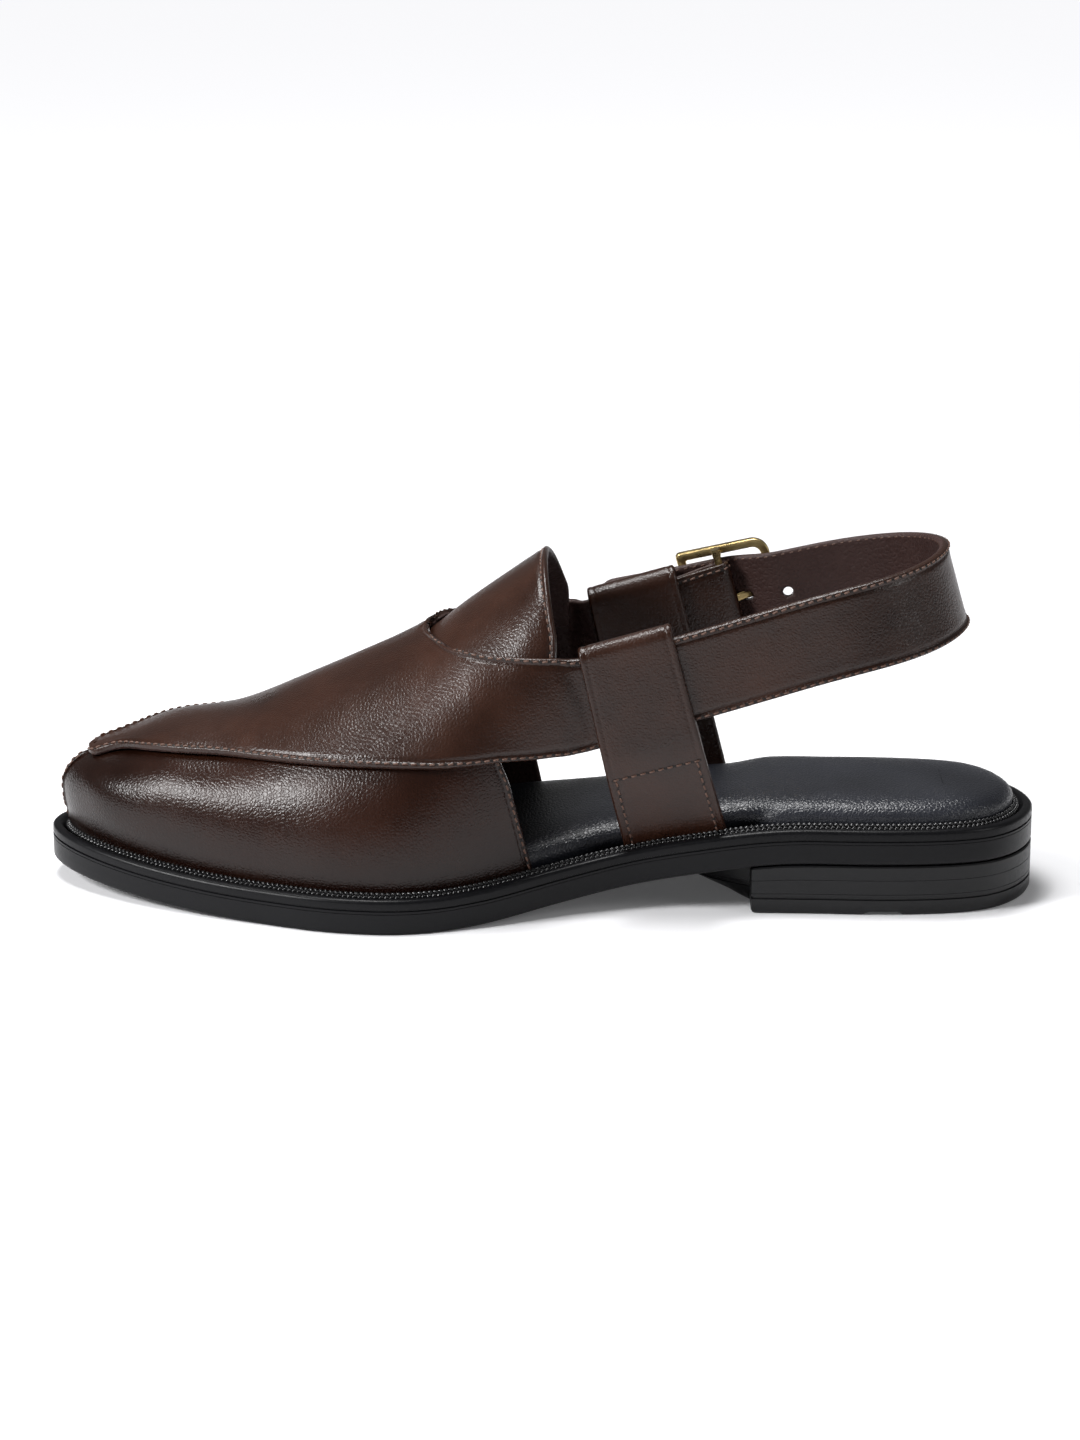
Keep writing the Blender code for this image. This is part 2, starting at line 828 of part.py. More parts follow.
def make_buckle_strap(look, collection):
    """From under the loop to the centre bar, round it and back, with a slot for the prong."""
    wall = buckle_strap_wall
    inner = band_outside - wall / 2
    radius = bar_radius + gap + wall / 2
    outer = 2 * bar_out - inner
    start = wing_end + gap
    path = [(start + (buckle_bar_place - start) * i / 6, inner) for i in range(6)]
    for i in range(9):
        angle = -math.pi / 2 + math.pi * i / 8
        path.append((buckle_bar_place + radius * math.cos(angle), bar_out + radius * math.sin(angle)))
    return_out = band_outside + gap + wall / 2
    for i in range(1, 7):
        along = buckle_bar_place + (start - buckle_bar_place) * i / 6
        path.append((along, outer + (return_out - outer) * ease(i / 6, 0.0, 0.5)))
    half = buckle_strap_width / 2
    slot = prong_width / 2 + 2 * gap
    columns = (-half, -half * 0.5, -slot, slot, half * 0.5, half)
    grid = []
    for along, out in path:
        climb = ease(along, start, buckle_bar_place)
        centre = strap_height + lateral_climb
        centre += (strap_centre(buckle_bar_place, 1) - centre) * climb
        grid.append([from_strap(along, out, centre + column_up) for column_up in columns])
    bend_middle = 10
    slot_faces = {(i, 2) for i in range(bend_middle, bend_middle + 5)}
    return sheet("buckle_strap", [grid], look, collection, wall, offset=0.0, skip=slot_faces)


def buckle_plane(along):
    """Middle of the frame's depth, just outside the strap at both rails."""
    rear_rail = buckle_rear - rail_width / 2
    front_rail = buckle_bar_place - buckle_front + rail_width / 2
    rear_out = strap_out(rear_rail - 0.002) + strap_wall / 2 + 2 * gap + rail_depth / 2
    front_out = strap_out(front_rail) + strap_wall / 2 + 2 * gap + rail_depth / 2
    s = (along - rear_rail) / (front_rail - rear_rail)
    return rear_out + (front_out - rear_out) * s


def buckle_centre(along):
    """The frame turns a little with the climbing strap."""
    middle = strap_centre(buckle_bar_place, 1)
    return middle + 0.3 * (strap_centre(along, 1) - middle)


def buckle_outline(low, high, half_height, front_radius, rear_radius):
    corners = (
        (high - rear_radius, half_height - rear_radius, rear_radius, 0.0),
        (low + front_radius, half_height - front_radius, front_radius, 90.0),
        (low + front_radius, front_radius - half_height, front_radius, 180.0),
        (high - rear_radius, rear_radius - half_height, rear_radius, 270.0),
    )
    points = []
    for along, up, radius, turn in corners:
        for i in range(5):
            angle = math.radians(turn + 22.5 * i)
            points.append((along + radius * math.cos(angle), up + radius * math.sin(angle)))
    return points


buckle_inner_half = strap_width / 2 + buckle_clearance


def make_buckle_frame(look, collection, cutters):
    front = buckle_bar_place - buckle_front
    outer_half = buckle_inner_half + rail_width
    centre = strap_centre(buckle_bar_place, 1)
    outside = buckle_outline(front, buckle_rear, outer_half, front_corner, buckle_corner)
    inside = buckle_outline(
        front + rail_width, buckle_rear - rail_width, buckle_inner_half, front_corner / 2, buckle_corner / 2
    )

    def build(made):
        loops = []
        for outline in (outside, inside):
            for depth in (-0.5, 0.5):
                loops.append([
                    made.verts.new(from_strap(a, buckle_plane(a) + depth * rail_depth, buckle_centre(a) + b))
                    for a, b in outline
                ])
        outer_low, outer_high, inner_low, inner_high = loops
        count = len(outside)
        for i in range(count):
            j = (i + 1) % count
            made.faces.new((outer_low[i], outer_low[j], outer_high[j], outer_high[i]))
            made.faces.new((inner_low[j], inner_low[i], inner_high[i], inner_high[j]))
            made.faces.new((outer_high[i], outer_high[j], inner_high[j], inner_high[i]))
            made.faces.new((outer_low[j], outer_low[i], inner_low[i], inner_low[j]))

    frame = finish_mesh("buckle_frame", build, look, collection, 30.0)
    middle = from_strap(buckle_bar_place, bar_out, centre)
    length = 2 * (buckle_inner_half + rail_width * 0.75)
    bpy.ops.mesh.primitive_cylinder_add(vertices=12, radius=bar_radius, depth=length, location=middle)
    bar = bpy.context.object
    bar.name = "centre_bar"
    bar.rotation_euler = (0.0, -strap_tilt, 0.0)
    join(frame, bar, "UNION", cutters)
    reach = buckle_plane(buckle_bar_place) - bar_out + bar_radius
    for end in (-1, 1):
        up = centre + end * (buckle_inner_half + rail_width * 0.5)
        place = from_strap(buckle_bar_place, bar_out - bar_radius + reach / 2, up)
        bpy.ops.mesh.primitive_cube_add(size=1.0, location=place)
        ear = bpy.context.object
        ear.name = "bar_ear_upper" if end > 0 else "bar_ear_lower"
        ear.scale = (rail_width, reach, rail_width * 0.9)
        ear.rotation_euler = (0.0, -strap_tilt, 0.0)
        join(frame, ear, "UNION", cutters)
    return frame


def prong_line():
    """Where the shank leaves the bar, and where it comes down on the rear rail, as along and out."""
    radius = bar_radius + gap + prong_wall / 2
    leaves = math.radians(25)
    start = (buckle_bar_place + radius * math.cos(leaves), bar_out + radius * math.sin(leaves))
    inner_edge = buckle_rear - rail_width
    rest = buckle_plane(inner_edge) + rail_depth / 2 + 2 * gap + prong_wall / 2
    return start, (inner_edge - prong_wall, rest)


def prong_crossing():
    """The place where the shank goes out through the strap."""
    (start, start_out), (end, end_out) = prong_line()
    low, high = start, end
    for _ in range(30):
        middle = (low + high) / 2
        shank = start_out + (end_out - start_out) * (middle - start) / (end - start)
        if shank < strap_out(middle):
            low = middle
        else:
            high = middle
    return (low + high) / 2


def make_buckle_prong(look, collection):
    """Curled over the centre bar, then straight out through the strap's hole and onto the rear rail."""
    radius = bar_radius + gap + prong_wall / 2
    start, end = prong_line()
    curl = [math.radians(200 - 175 * i / 8) for i in range(8)]
    path = [(buckle_bar_place + radius * math.cos(t), bar_out + radius * math.sin(t)) for t in curl]
    for i in range(5):
        s = i / 4
        path.append((start[0] + (end[0] - start[0]) * s, start[1] + (end[1] - start[1]) * s))
    path.append((buckle_rear + rail_width * 0.2, end[1]))
    half = prong_width / 2
    grid = [[from_strap(along, out, buckle_centre(along) + up) for up in (-half, half)] for along, out in path]
    return sheet("buckle_prong", [grid], look, collection, prong_wall, offset=0.0)


def centre_in_frame(collections):
    """The row's frame is centred on the sole's width."""
    outline = outline_ring(all_turns, 0.0, lift)
    middle = (min(point[1] for point in outline) + max(point[1] for point in outline)) / 2
    for collection in collections:
        for item in collection.objects:
            item.location.y -= middle


start_empty_scene()
parts = new_collection("peshawari_chappal")
cutter_set = new_collection("cutters")


def leather(piece):
    return material(piece + "_leather", leather_brown, 0.42)


make_outsole(material("outsole_rubber", rubber_black, 0.45), parts)
make_heel_block(material("heel_rubber", rubber_black, 0.5), parts, cutter_set)
make_insole(material("insole_leather", insole_navy, 0.5), parts)
make_vamp(leather("vamp"), parts)
make_overlay(leather("overlay"), parts)
make_instep(leather("instep"), parts)
make_loop("medial_loop", -1, band_outside + gap, leather("medial_loop"), parts)
make_loop("lateral_loop", 1, loop_outside - loop_wall, leather("lateral_loop"), parts)
make_heel_strap(leather("heel_strap"), parts, cutter_set)
make_buckle_strap(leather("buckle_strap"), parts)
make_buckle_frame(material("frame_brass", brass, 0.35, 1.0), parts, cutter_set)
make_buckle_prong(material("prong_brass", brass, 0.35, 1.0), parts)
centre_in_frame((parts, cutter_set))
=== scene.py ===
"""The looks of the right-foot peshawari chappal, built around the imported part.

Every leather piece is laid again on the same last, finer than the solids, with its folded edges and
stitching. The sole, the padded insole and the brass buckle are rebuilt with their small steps and roundings.
Metres, +Z up, toe to -X, medial side to -Y.
"""
import math
from bisect import bisect_right

import bmesh
import bpy
import numpy as np
from mathutils import Matrix, Vector
from mathutils.kdtree import KDTree


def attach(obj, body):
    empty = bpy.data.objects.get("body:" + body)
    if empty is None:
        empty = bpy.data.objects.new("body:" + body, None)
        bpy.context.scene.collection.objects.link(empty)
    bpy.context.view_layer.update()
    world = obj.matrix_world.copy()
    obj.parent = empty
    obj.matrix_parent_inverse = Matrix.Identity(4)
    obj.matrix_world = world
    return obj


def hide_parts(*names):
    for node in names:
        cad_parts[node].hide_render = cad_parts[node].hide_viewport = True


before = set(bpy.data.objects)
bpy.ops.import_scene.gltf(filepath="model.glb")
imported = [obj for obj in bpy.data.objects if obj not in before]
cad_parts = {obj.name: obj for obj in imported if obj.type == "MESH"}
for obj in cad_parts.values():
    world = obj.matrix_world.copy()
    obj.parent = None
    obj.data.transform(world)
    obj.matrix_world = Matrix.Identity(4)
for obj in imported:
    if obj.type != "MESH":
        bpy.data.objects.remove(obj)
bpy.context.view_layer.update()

# Sizes of the solids
sole_length = 0.303
ball_width = 0.112
heel_width = 0.071
sole_thickness = 0.0108
heel_rise = 0.0155
toe_spring = 0.006
toe_swing = 0.004
rim_width = 0.0036
rim_depth = 0.0016
heel_block_length = 0.087
arch_web_length = 0.026
top_piece_height = 0.005
heel_notch_width = 0.011
heel_notch_depth = 0.001
insole_thickness = 0.0086
feather_inset = 0.006
vamp_wall = 0.0018
overlay_wall = 0.0020
strap_wall = 0.0024
buckle_strap_wall = 0.0015
loop_wall = 0.0018
gap = 0.0003
toe_slit = 0.0012
slit_row = 3.6
overlay_gap = 0.0008
instep_height = 0.0911
vamp_length = 0.1485
vamp_flare = 0.0050
vamp_lean = 0.0095
throat_place = 0.1185
instep_reach = 0.1537
instep_lean = 0.0085
instep_lean_lateral = 0.0118
instep_skirt = 0.058
overlay_tip_place = 0.0128
overlay_edge_height = 0.038
throat_height = 0.0695
strap_tilt = math.radians(16.0)
strap_width = 0.0265
strap_half_span = 0.0353
strap_height = 0.0582
strap_reach = 0.1467
strap_round = 0.040
strap_dip = 0.0015
strap_climb = 0.0070
strap_hump = 0.0007
strap_tail = 0.0380
strap_approach = 0.0186
tail_round = 0.007
wing_margin = 0.0007
loop_front = 0.0343
loop_width = 0.0284
loop_flare = 0.0028
loop_slant = 0.0025
loop_top = 0.0758
loop_foot_up = 0.008
loop_foot_clearance = 0.0006
lateral_shift = 0.0020
lateral_climb = 0.0010
buckle_bar_place = 0.0784
buckle_front = 0.0129
buckle_back = 0.0163
buckle_clearance = 0.0012
buckle_corner = 0.005
front_corner = 0.0014
buckle_strap_width = 0.0250
rail_width = 0.0028
rail_depth = 0.0034
bar_radius = 0.0012
prong_width = 0.0026
prong_wall = 0.0014
hole_radius = 0.0016
hole_spacing = 0.0125

# Places along the sole, as shares of its length from the toe
waist_start, waist_end = 0.40, 0.80
swing_end = 0.30
spring_end = 0.26
arch_start, arch_end = 0.39, 0.775
even_start, even_end = 0.36, 0.48

# How far one piece runs under another, and how fast one form turns into the next
vamp_under_overlay = 0.010
wing_settling = 0.015
loop_spread = 0.009
loop_box_height = 0.0245
insole_easing = 0.012

outline_table = (
    ("place", "medial", "lateral"),
    (0.000, 0.000, 0.000),
    (0.038, 0.172, 0.214),
    (0.120, 0.312, 0.354),
    (0.226, 0.433, 0.443),
    (0.312, 0.508, 0.471),
    (0.361, 0.518, 0.480),
    (0.444, 0.458, 0.488),
    (0.523, 0.383, 0.494),
    (0.582, 0.365, 0.496),
    (0.685, 0.434, 0.503),
    (0.780, 0.484, 0.506),
    (0.856, 0.490, 0.500),
    (0.945, 0.415, 0.420),
    (1.000, 0.000, 0.000),
)
last_table = (
    ("foot", "crest", "rise", "side", "top", "swell"),
    (0.000, 0.0190, 0.029, 0.50, 0.50, 0.00),
    (0.004, 0.0130, 0.107, 0.60, 0.65, 0.30),
    (0.014, 0.0135, 0.182, 0.68, 0.68, 0.32),
    (0.034, 0.0270, 0.245, 0.72, 0.73, 0.34),
    (0.062, 0.0460, 0.286, 0.74, 0.77, 0.34),
    (0.090, 0.0790, 0.332, 0.75, 0.78, 0.32),
    (0.128, 0.1270, 0.402, 0.74, 0.76, 0.28),
    (0.193, 0.1930, 0.455, 0.70, 0.68, 0.21),
    (0.260, 0.2600, 0.555, 0.64, 0.58, 0.18),
    (0.325, 0.3250, 0.654, 0.60, 0.52, 0.17),
    (0.381, 0.3810, 0.742, 0.60, 0.52, 0.18),
    (0.425, 0.4250, 0.849, 0.62, 0.58, 0.19),
    (0.467, 0.4670, 0.935, 0.66, 0.66, 0.20),
    (0.507, 0.5070, 1.000, 0.71, 0.86, 0.27),
    (0.560, 0.5600, 1.050, 0.68, 0.96, 0.44),
    (0.640, 0.6400, 1.084, 0.64, 1.04, 0.62),
)
edge_table = (
    ("place", "lower"),
    (0.042, 0.645),
    (0.061, 0.715),
    (0.090, 0.797),
    (0.120, 0.857),
    (0.165, 0.905),
    (0.219, 0.945),
    (0.335, 0.990),
    (0.417, 1.007),
    (0.467, 1.005),
    (0.523, 0.954),
    (0.560, 0.934),
    (0.640, 0.920),
)
throat_table = (
    ("place", "upper"),
    (0.391, 1.000),
    (0.408, 1.003),
    (0.416, 0.994),
    (0.431, 0.985),
    (0.455, 0.971),
    (0.484, 0.963),
    (0.513, 0.946),
    (0.540, 0.928),
    (0.640, 0.880),
)

# Sizes of the looks
grid_step = 0.0014
loop_grid_step = 0.0013
buckle_strap_grid_step = 0.0012
prong_grid_step = 0.0005
vamp_rows, vamp_columns = 44, 20
overlay_front_rows, overlay_back_rows = 28, 24
stitch_pitch = 0.0027
stitch_length = 0.0019
stitch_slant = 0.12
thread_radius = 0.00029
thread_sink = 0.00003
welt_radius_outer = 0.00052
welt_radius_inner = 0.00055
welt_slant = 0.5
seam_inset = 0.0021
instep_seam_inset = 0.0029
loop_seam_inset = 0.0032
fold_bead = 0.0004
seam_groove = 0.00030


def between(start, end, start_slope, end_slope, width, s):
    """The value at the share s of one step of a smooth curve, from values and slopes at the step's ends."""
    near = start * (1 + 2 * s) * (1 - s) ** 2 + width * start_slope * s * (1 - s) ** 2
    return near + (end * s * s * (3 - 2 * s) - width * end_slope * s * s * (1 - s))


class Curve:
    """A smooth curve through one column of a table."""

    def __init__(self, places, values):
        self.places = [float(place) for place in places]
        self.values = [float(value) for value in values]
        self.slopes = [float(slope) for slope in np.gradient(self.values, self.places)]

    def __call__(self, at):
        i = min(max(bisect_right(self.places, at) - 1, 0), len(self.places) - 2)
        width = self.places[i + 1] - self.places[i]
        s = (at - self.places[i]) / width
        return between(self.values[i], self.values[i + 1], self.slopes[i], self.slopes[i + 1], width, s)


def column(table, name):
    index = table[0].index(name)
    return [row[index] for row in table[1:]]


def ease(value, start, end):
    s = np.clip((value - start) / (end - start), 0.0, 1.0)
    return s * s * (3 - 2 * s)


def halve(goes_on, rounds, low=0.0, high=1.0):
    """The place between low and high up to which goes_on is true."""
    for _ in range(rounds):
        middle = (low + high) / 2
        if goes_on(middle):
            low = middle
        else:
            high = middle
    return (low + high) / 2


def arc_points(x, y, radius, start, end, steps):
    """Points round a centre, from the start angle to the end angle in degrees."""
    marks = [math.radians(start + (end - start) * i / steps) for i in range(steps + 1)]
    return [(x + radius * math.cos(t), y + radius * math.sin(t)) for t in marks]


# The sole's outline and heights

def x_at(place):
    return (place - 0.5) * sole_length


def place_of(x):
    return x / sole_length + 0.5


def turn_of(place):
    return math.acos(1 - 2 * min(max(place, 0.0), 1.0)) / math.pi


outline_turns = [turn_of(place) for place in column(outline_table, "place")]
outline_curve = {
    -1: Curve(outline_turns, column(outline_table, "medial")),
    1: Curve(outline_turns, column(outline_table, "lateral")),
}


def local_width(place):
    return ball_width + (heel_width - ball_width) * ease(place, waist_start, waist_end)


def centre_line(place):
    return toe_swing * max(1 - place / swing_end, 0.0) ** 2


def lift(x):
    """How far the sole's underside stands above the floor."""
    place = place_of(x)
    spring = toe_spring * max(1 - place / spring_end, 0.0) ** 2
    return spring + heel_rise * ease(place, arch_start, arch_end)


def edge(side, turn):
    place = (1 - math.cos(math.pi * turn)) / 2
    return np.array([x_at(place), centre_line(place) + side * outline_curve[side](turn) * local_width(place)])


def inset_edge(side, turn, inset):
    """A point of the outline, moved inwards."""
    step = 0.002
    along = edge(side, min(turn + step, 1.0)) - edge(side, max(turn - step, 0.0))
    if turn < step or turn > 1 - step:
        along[0] = 0.0
    along = along / math.hypot(*along)
    return edge(side, turn) + inset * side * np.array([along[1], -along[0]])


platform_height = sole_thickness - rim_depth
ball_ring = [edge(side, i / 200)[1] for side in (-1, 1) for i in range(201)]
frame_shift = np.array([0.0, -(min(ball_ring) + max(ball_ring)) / 2, 0.0])


def feather_height(x):
    return lift(x) + platform_height + gap


# The last

last_rows = list(range(len(last_table) - 1))
last_curve = {name: Curve(last_rows, column(last_table, name)) for name in last_table[0]}
upright_rows = last_rows[7:]
upright_places = column(last_table, "crest")[7:]


def row_at(x):
    return float(np.interp(place_of(x), upright_places, upright_rows))


def last_point(row, across):
    """Across runs from -1 at the medial feather line, over the crest at 0, to 1 at the lateral one."""
    side = -1 if across < 0 else 1
    turn = turn_of(last_curve["foot"](row))
    foot_x, foot_y = inset_edge(side, turn, feather_inset)
    crest_place = last_curve["crest"](row)
    crest_x = x_at(crest_place)
    middle = centre_line(crest_place)
    foot_z = feather_height(foot_x)
    crest_z = feather_height(crest_x) + last_curve["rise"](row) * instep_height
    half = abs(foot_y - middle)
    medial_half = abs(inset_edge(-1, turn, feather_inset)[1] - middle)
    half += (medial_half - half) * ease(crest_place, even_start, even_end)
    shift = (crest_x - foot_x) * 0.5
    foot = np.array([foot_x, foot_y, foot_z])
    crest = np.array([crest_x, middle, crest_z])
    low_out = middle + side * half * (1 + last_curve["swell"](row))
    low = np.array([foot_x + shift * 0.6, low_out, foot_z + (crest_z - foot_z) * last_curve["side"](row)])
    high = crest + np.array([-shift * 0.4, side * half * last_curve["top"](row), 0.0])
    s = 1 - abs(across)
    return (1 - s) ** 3 * foot + 3 * (1 - s) ** 2 * s * low + 3 * (1 - s) * s * s * high + s ** 3 * crest


def across_at(row, height):
    foot = last_point(row, 1.0)[2]
    return halve(lambda across: last_point(row, across)[2] - foot > height, 18)


# The frame of the straps

def from_strap(along, out, up):
    x = along * math.cos(strap_tilt) - up * math.sin(strap_tilt)
    z = along * math.sin(strap_tilt) + up * math.cos(strap_tilt)
    return (x, out, z)


def height_of_strap_line(x, up):
    return (up + x * math.sin(strap_tilt)) / math.cos(strap_tilt)


def climb_on(side):
    return lateral_climb if side > 0 else 0.0


def loop_edge(side, share, up):
    """Where a loop lies along the shoe, from its front edge at 0 to its rear edge at 1."""
    front = loop_front + (lateral_shift if side > 0 else 0.0)
    drop = min(max((loop_top - up) / (loop_top - loop_foot_up), 0.0), 1.0)
    return front + loop_width * share + (loop_flare * (share - 0.5) - loop_slant) * drop


wing_end = loop_front + loop_width * 0.45
wing_lower = strap_height - strap_width / 2 - wing_margin
wing_upper = strap_height + strap_width / 2 + wing_margin
band_outside = strap_half_span + strap_wall / 2
loop_foot_x = from_strap(loop_front, 0.0, wing_lower)[0]
throat_x = x_at(0) + throat_place


# Grids of points, read again at more places and crowded near free edges

edge_marks = np.array([0.0, 0.05, 0.17, 0.35, 0.6, 0.9, 1.25, 1.6, 1.95, 2.3, 2.7, 3.3]) / 1000


def read_along(points, step, free_start, free_end):
    """Reads a grid's rows again, a step apart and crowded near a free end, on smooth curves through them.

    Returns the new rows and where each lies among the old ones.
    """
    lengths = np.linalg.norm(np.diff(points, axis=0), axis=2).mean(axis=1)
    arc = np.concatenate([[0.0], np.cumsum(lengths)])
    marks = edge_marks * min(1.0, arc[-1] / (2.3 * edge_marks[-1]))
    first = marks if free_start else marks[:1]
    last = marks if free_end else marks[:1]
    count = max(int((arc[-1] - first[-1] - last[-1]) / step), 1) + 1
    middle = np.linspace(first[-1], arc[-1] - last[-1], count)
    wanted = np.concatenate([first[:-1], middle, arc[-1] - last[:-1][::-1]])
    slopes = np.gradient(points, arc, axis=0)
    i = np.clip(np.searchsorted(arc, wanted, side="right") - 1, 0, len(arc) - 2)
    width = (arc[i + 1] - arc[i])[:, None, None]
    s = (wanted - arc[i])[:, None, None] / width
    read = between(points[i], points[i + 1], slopes[i], slopes[i + 1], width, s)
    return read, np.interp(wanted, arc, np.arange(len(arc)))


def refine(points, step, free):
    """Free holds the letters of the free sides: start and end rows, and left and right columns."""
    points, rows = read_along(np.asarray(points, dtype=float), step, "s" in free, "e" in free)
    points, _columns = read_along(points.transpose(1, 0, 2), step, "l" in free, "r" in free)
    return points.transpose(1, 0, 2), rows


def side_first(points, side):
    """The same grid, turned so that the named side is its first row."""
    if side in "lr":
        points = np.swapaxes(points, 0, 1)
    return points[::-1] if side in "er" else points


def arc_of(line):
    return np.concatenate([[0.0], np.cumsum(np.linalg.norm(np.diff(line, axis=0), axis=1))])


def read_line(line, arc, at):
    return np.stack([np.interp(at, arc, line[:, k]) for k in range(3)], axis=-1)


def distance_to(points, lines, step=0.0001):
    """How far each point of a grid lies from the nearest of the lines."""
    samples = [read_line(line, arc_of(line), np.arange(0, arc_of(line)[-1], step)) for line in lines]
    samples = np.concatenate([*samples, *lines])
    tree = KDTree(len(samples))
    for i, sample in enumerate(samples):
        tree.insert(sample, i)
    tree.balance()
    return np.array([tree.find(point)[2] for point in points.reshape(-1, 3)]).reshape(points.shape[:2])


def normals_of(points, inside, crest_rows=0):
    """Normals away from a place inside, and whether the faces have to be turned round."""
    normals = np.cross(np.gradient(points, axis=0), np.gradient(points, axis=1))
    normals[:crest_rows, -1, 1] = 0.0
    normals /= np.maximum(np.linalg.norm(normals, axis=2, keepdims=True), 1e-12)
    turned = float((normals * (points - np.asarray(inside))).sum()) < 0
    return (-normals if turned else normals), turned


def folded_edge(distance):
    """A turned-in edge: a bead, the groove of the stitches, and the leather swelling behind it."""
    bead = fold_bead * ease(distance, 0.0, 0.0006) * (1 - ease(distance, 0.0012, seam_inset))
    groove = seam_groove * np.exp(-((distance - seam_inset) / 0.00048) ** 2)
    return bead - groove + 0.00010 * np.exp(-((distance - seam_inset - 0.0014) / 0.0009) ** 2)


def cut_edge(distance):
    """A cut edge with a shallow line of stitches beside it."""
    return -0.5 * seam_groove * np.exp(-((distance - seam_inset) / 0.00045) ** 2)


def new_object(name, data):
    item = bpy.data.objects.new(name, data)
    bpy.context.scene.collection.objects.link(item)
    return item


def show(item, node=None):
    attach(item, "root")
    if node:
        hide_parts(node)
    return item


def leather(name, node, grids, wall, offset, inside, looks, edges, relief=folded_edge, crest_rows=0,
            swell=None):
    """Leather laid on grids of points. Its free edges are rounded, and relief shapes the leather beside them.

    Offset says where the points lie, from -1 for the outer face to 1 for the inner one.
    """
    made = bmesh.new()
    surfaces = []
    for points, free_edges in zip(grids, edges):
        normals, turned = normals_of(points, inside, crest_rows)
        distance = distance_to(points, free_edges)
        near = np.minimum(distance, wall / 2)
        half = np.sqrt(np.maximum((wall / 2) ** 2 - (wall / 2 - near) ** 2, 0.0))
        height = relief(distance)
        if swell is not None:
            height = height + swell(points)
        middle = points + normals * wall / 2 * offset
        outer = middle + normals * (half + height)[..., None] + frame_shift
        inner = middle - normals * half[..., None] + frame_shift
        surfaces.append((outer, normals))
        top = [[made.verts.new(point) for point in row] for row in outer]
        low = [[made.verts.new(point) for point in row] for row in inner]
        for layer, flip, look in ((top, turned, 0), (low, not turned, 1)):
            for row, following in zip(layer, layer[1:]):
                for j in range(len(row) - 1):
                    quad = [row[j], row[j + 1], following[j + 1], following[j]]
                    face = made.faces.new(quad if flip else quad[::-1])
                    face.material_index = look
        rims = (
            (top[0], low[0]),
            (top[-1][::-1], low[-1][::-1]),
            [[row[0] for row in layer][::-1] for layer in (top, low)],
            [[row[-1] for row in layer[crest_rows:]] for layer in (top, low)],
        )
        for upper, lower in rims:
            for j in range(len(upper) - 1):
                quad = (upper[j], upper[j + 1], lower[j + 1], lower[j])
                made.faces.new(quad if turned else quad[::-1])
    bmesh.ops.remove_doubles(made, verts=made.verts, dist=2e-6)
    bmesh.ops.recalc_face_normals(made, faces=made.faces)
    mesh = bpy.data.meshes.new(name)
    made.to_mesh(mesh)
    made.free()
    mesh.shade_smooth()
    for look in looks:
        mesh.materials.append(look)
    show(new_object(name, mesh), node)
    return surfaces


def mesh_object(name, vertices, faces, look):
    mesh = bpy.data.meshes.new(name)
    mesh.from_pydata([tuple(vertex) for vertex in vertices], [], faces)
    mesh.materials.append(look)
    mesh.shade_smooth()
    return new_object(name, mesh)


def settle_normals(item, angle):
    """Turns the faces outwards and keeps an edge sharp where it bends by more than the angle."""
    made = bmesh.new()
    made.from_mesh(item.data)
    bmesh.ops.recalc_face_normals(made, faces=made.faces)
    made.to_mesh(item.data)
    made.free()
    item.data.set_sharp_from_angle(angle=math.radians(angle))


def circle(count, first=0.0):
    angles = [2 * math.pi * (k + first) / count for k in range(count)]
    return [(math.cos(angle), math.sin(angle)) for angle in angles]


def tube(start, sides, rings=2):
    """The faces between rings of vertices that follow one another from the number start."""
    faces = []
    for first in range(start, start + (rings - 1) * sides, sides):
        for k in range(sides):
            a, b = first + k, first + (k + 1) % sides
            faces.append((a, b, b + sides, a + sides))
    return faces


# Stitches are noted while the leather is laid, and made at the end

stitches = {}
bow_half = ((-0.5, -1.1, 0.45), (-0.42, 0.1, 0.85), (-0.2, 0.75, 1.0))
bow = bow_half + tuple((-along, up, thick) for along, up, thick in reversed(bow_half))


def seam(surface, side, distance=seam_inset, start=0, end=None):
    """The line on a laid surface that keeps a distance from one side, with its normals."""
    points, normals = (side_first(part, side) for part in surface)
    line = []
    for j in range(points.shape[1])[start:end]:
        arc = arc_of(points[:, j])
        line.append(np.concatenate([read_line(part[:, j], arc, distance) for part in (points, normals)]))
    line = np.array(line)
    return line[:, :3], line[:, 3:]


def stitch(thread, line, normals, start=0.0015, end=0.0015, pitch=stitch_pitch, aim=0.0008):
    """Stitches at even steps along a line. Each points from a little behind it to a little ahead."""
    arc = arc_of(line)
    count = int((arc[-1] - start - end) / pitch)
    for i in range(count):
        at = start + (i + 0.5) * (arc[-1] - start - end) / count
        ahead = read_line(line, arc, at + aim) - read_line(line, arc, at - aim)
        stitches.setdefault(thread, []).append((read_line(line, arc, at), ahead, read_line(normals, arc, at)))


def sew(surface, side, distance=seam_inset, first=0, last=None, **ends):
    """A row of stitches beside one side of a laid surface."""
    stitch("upper", *seam(surface, side, distance, first, last), **ends)


def thread_frame(ahead, normal, slant):
    """The directions along a stitch, across it and out of the leather."""
    normal = normal / np.linalg.norm(normal)
    ahead = ahead - normal * ahead.dot(normal)
    ahead = ahead / np.linalg.norm(ahead)
    ahead = ahead * math.cos(slant) + np.cross(normal, ahead) * math.sin(slant)
    return ahead, np.cross(normal, ahead), normal


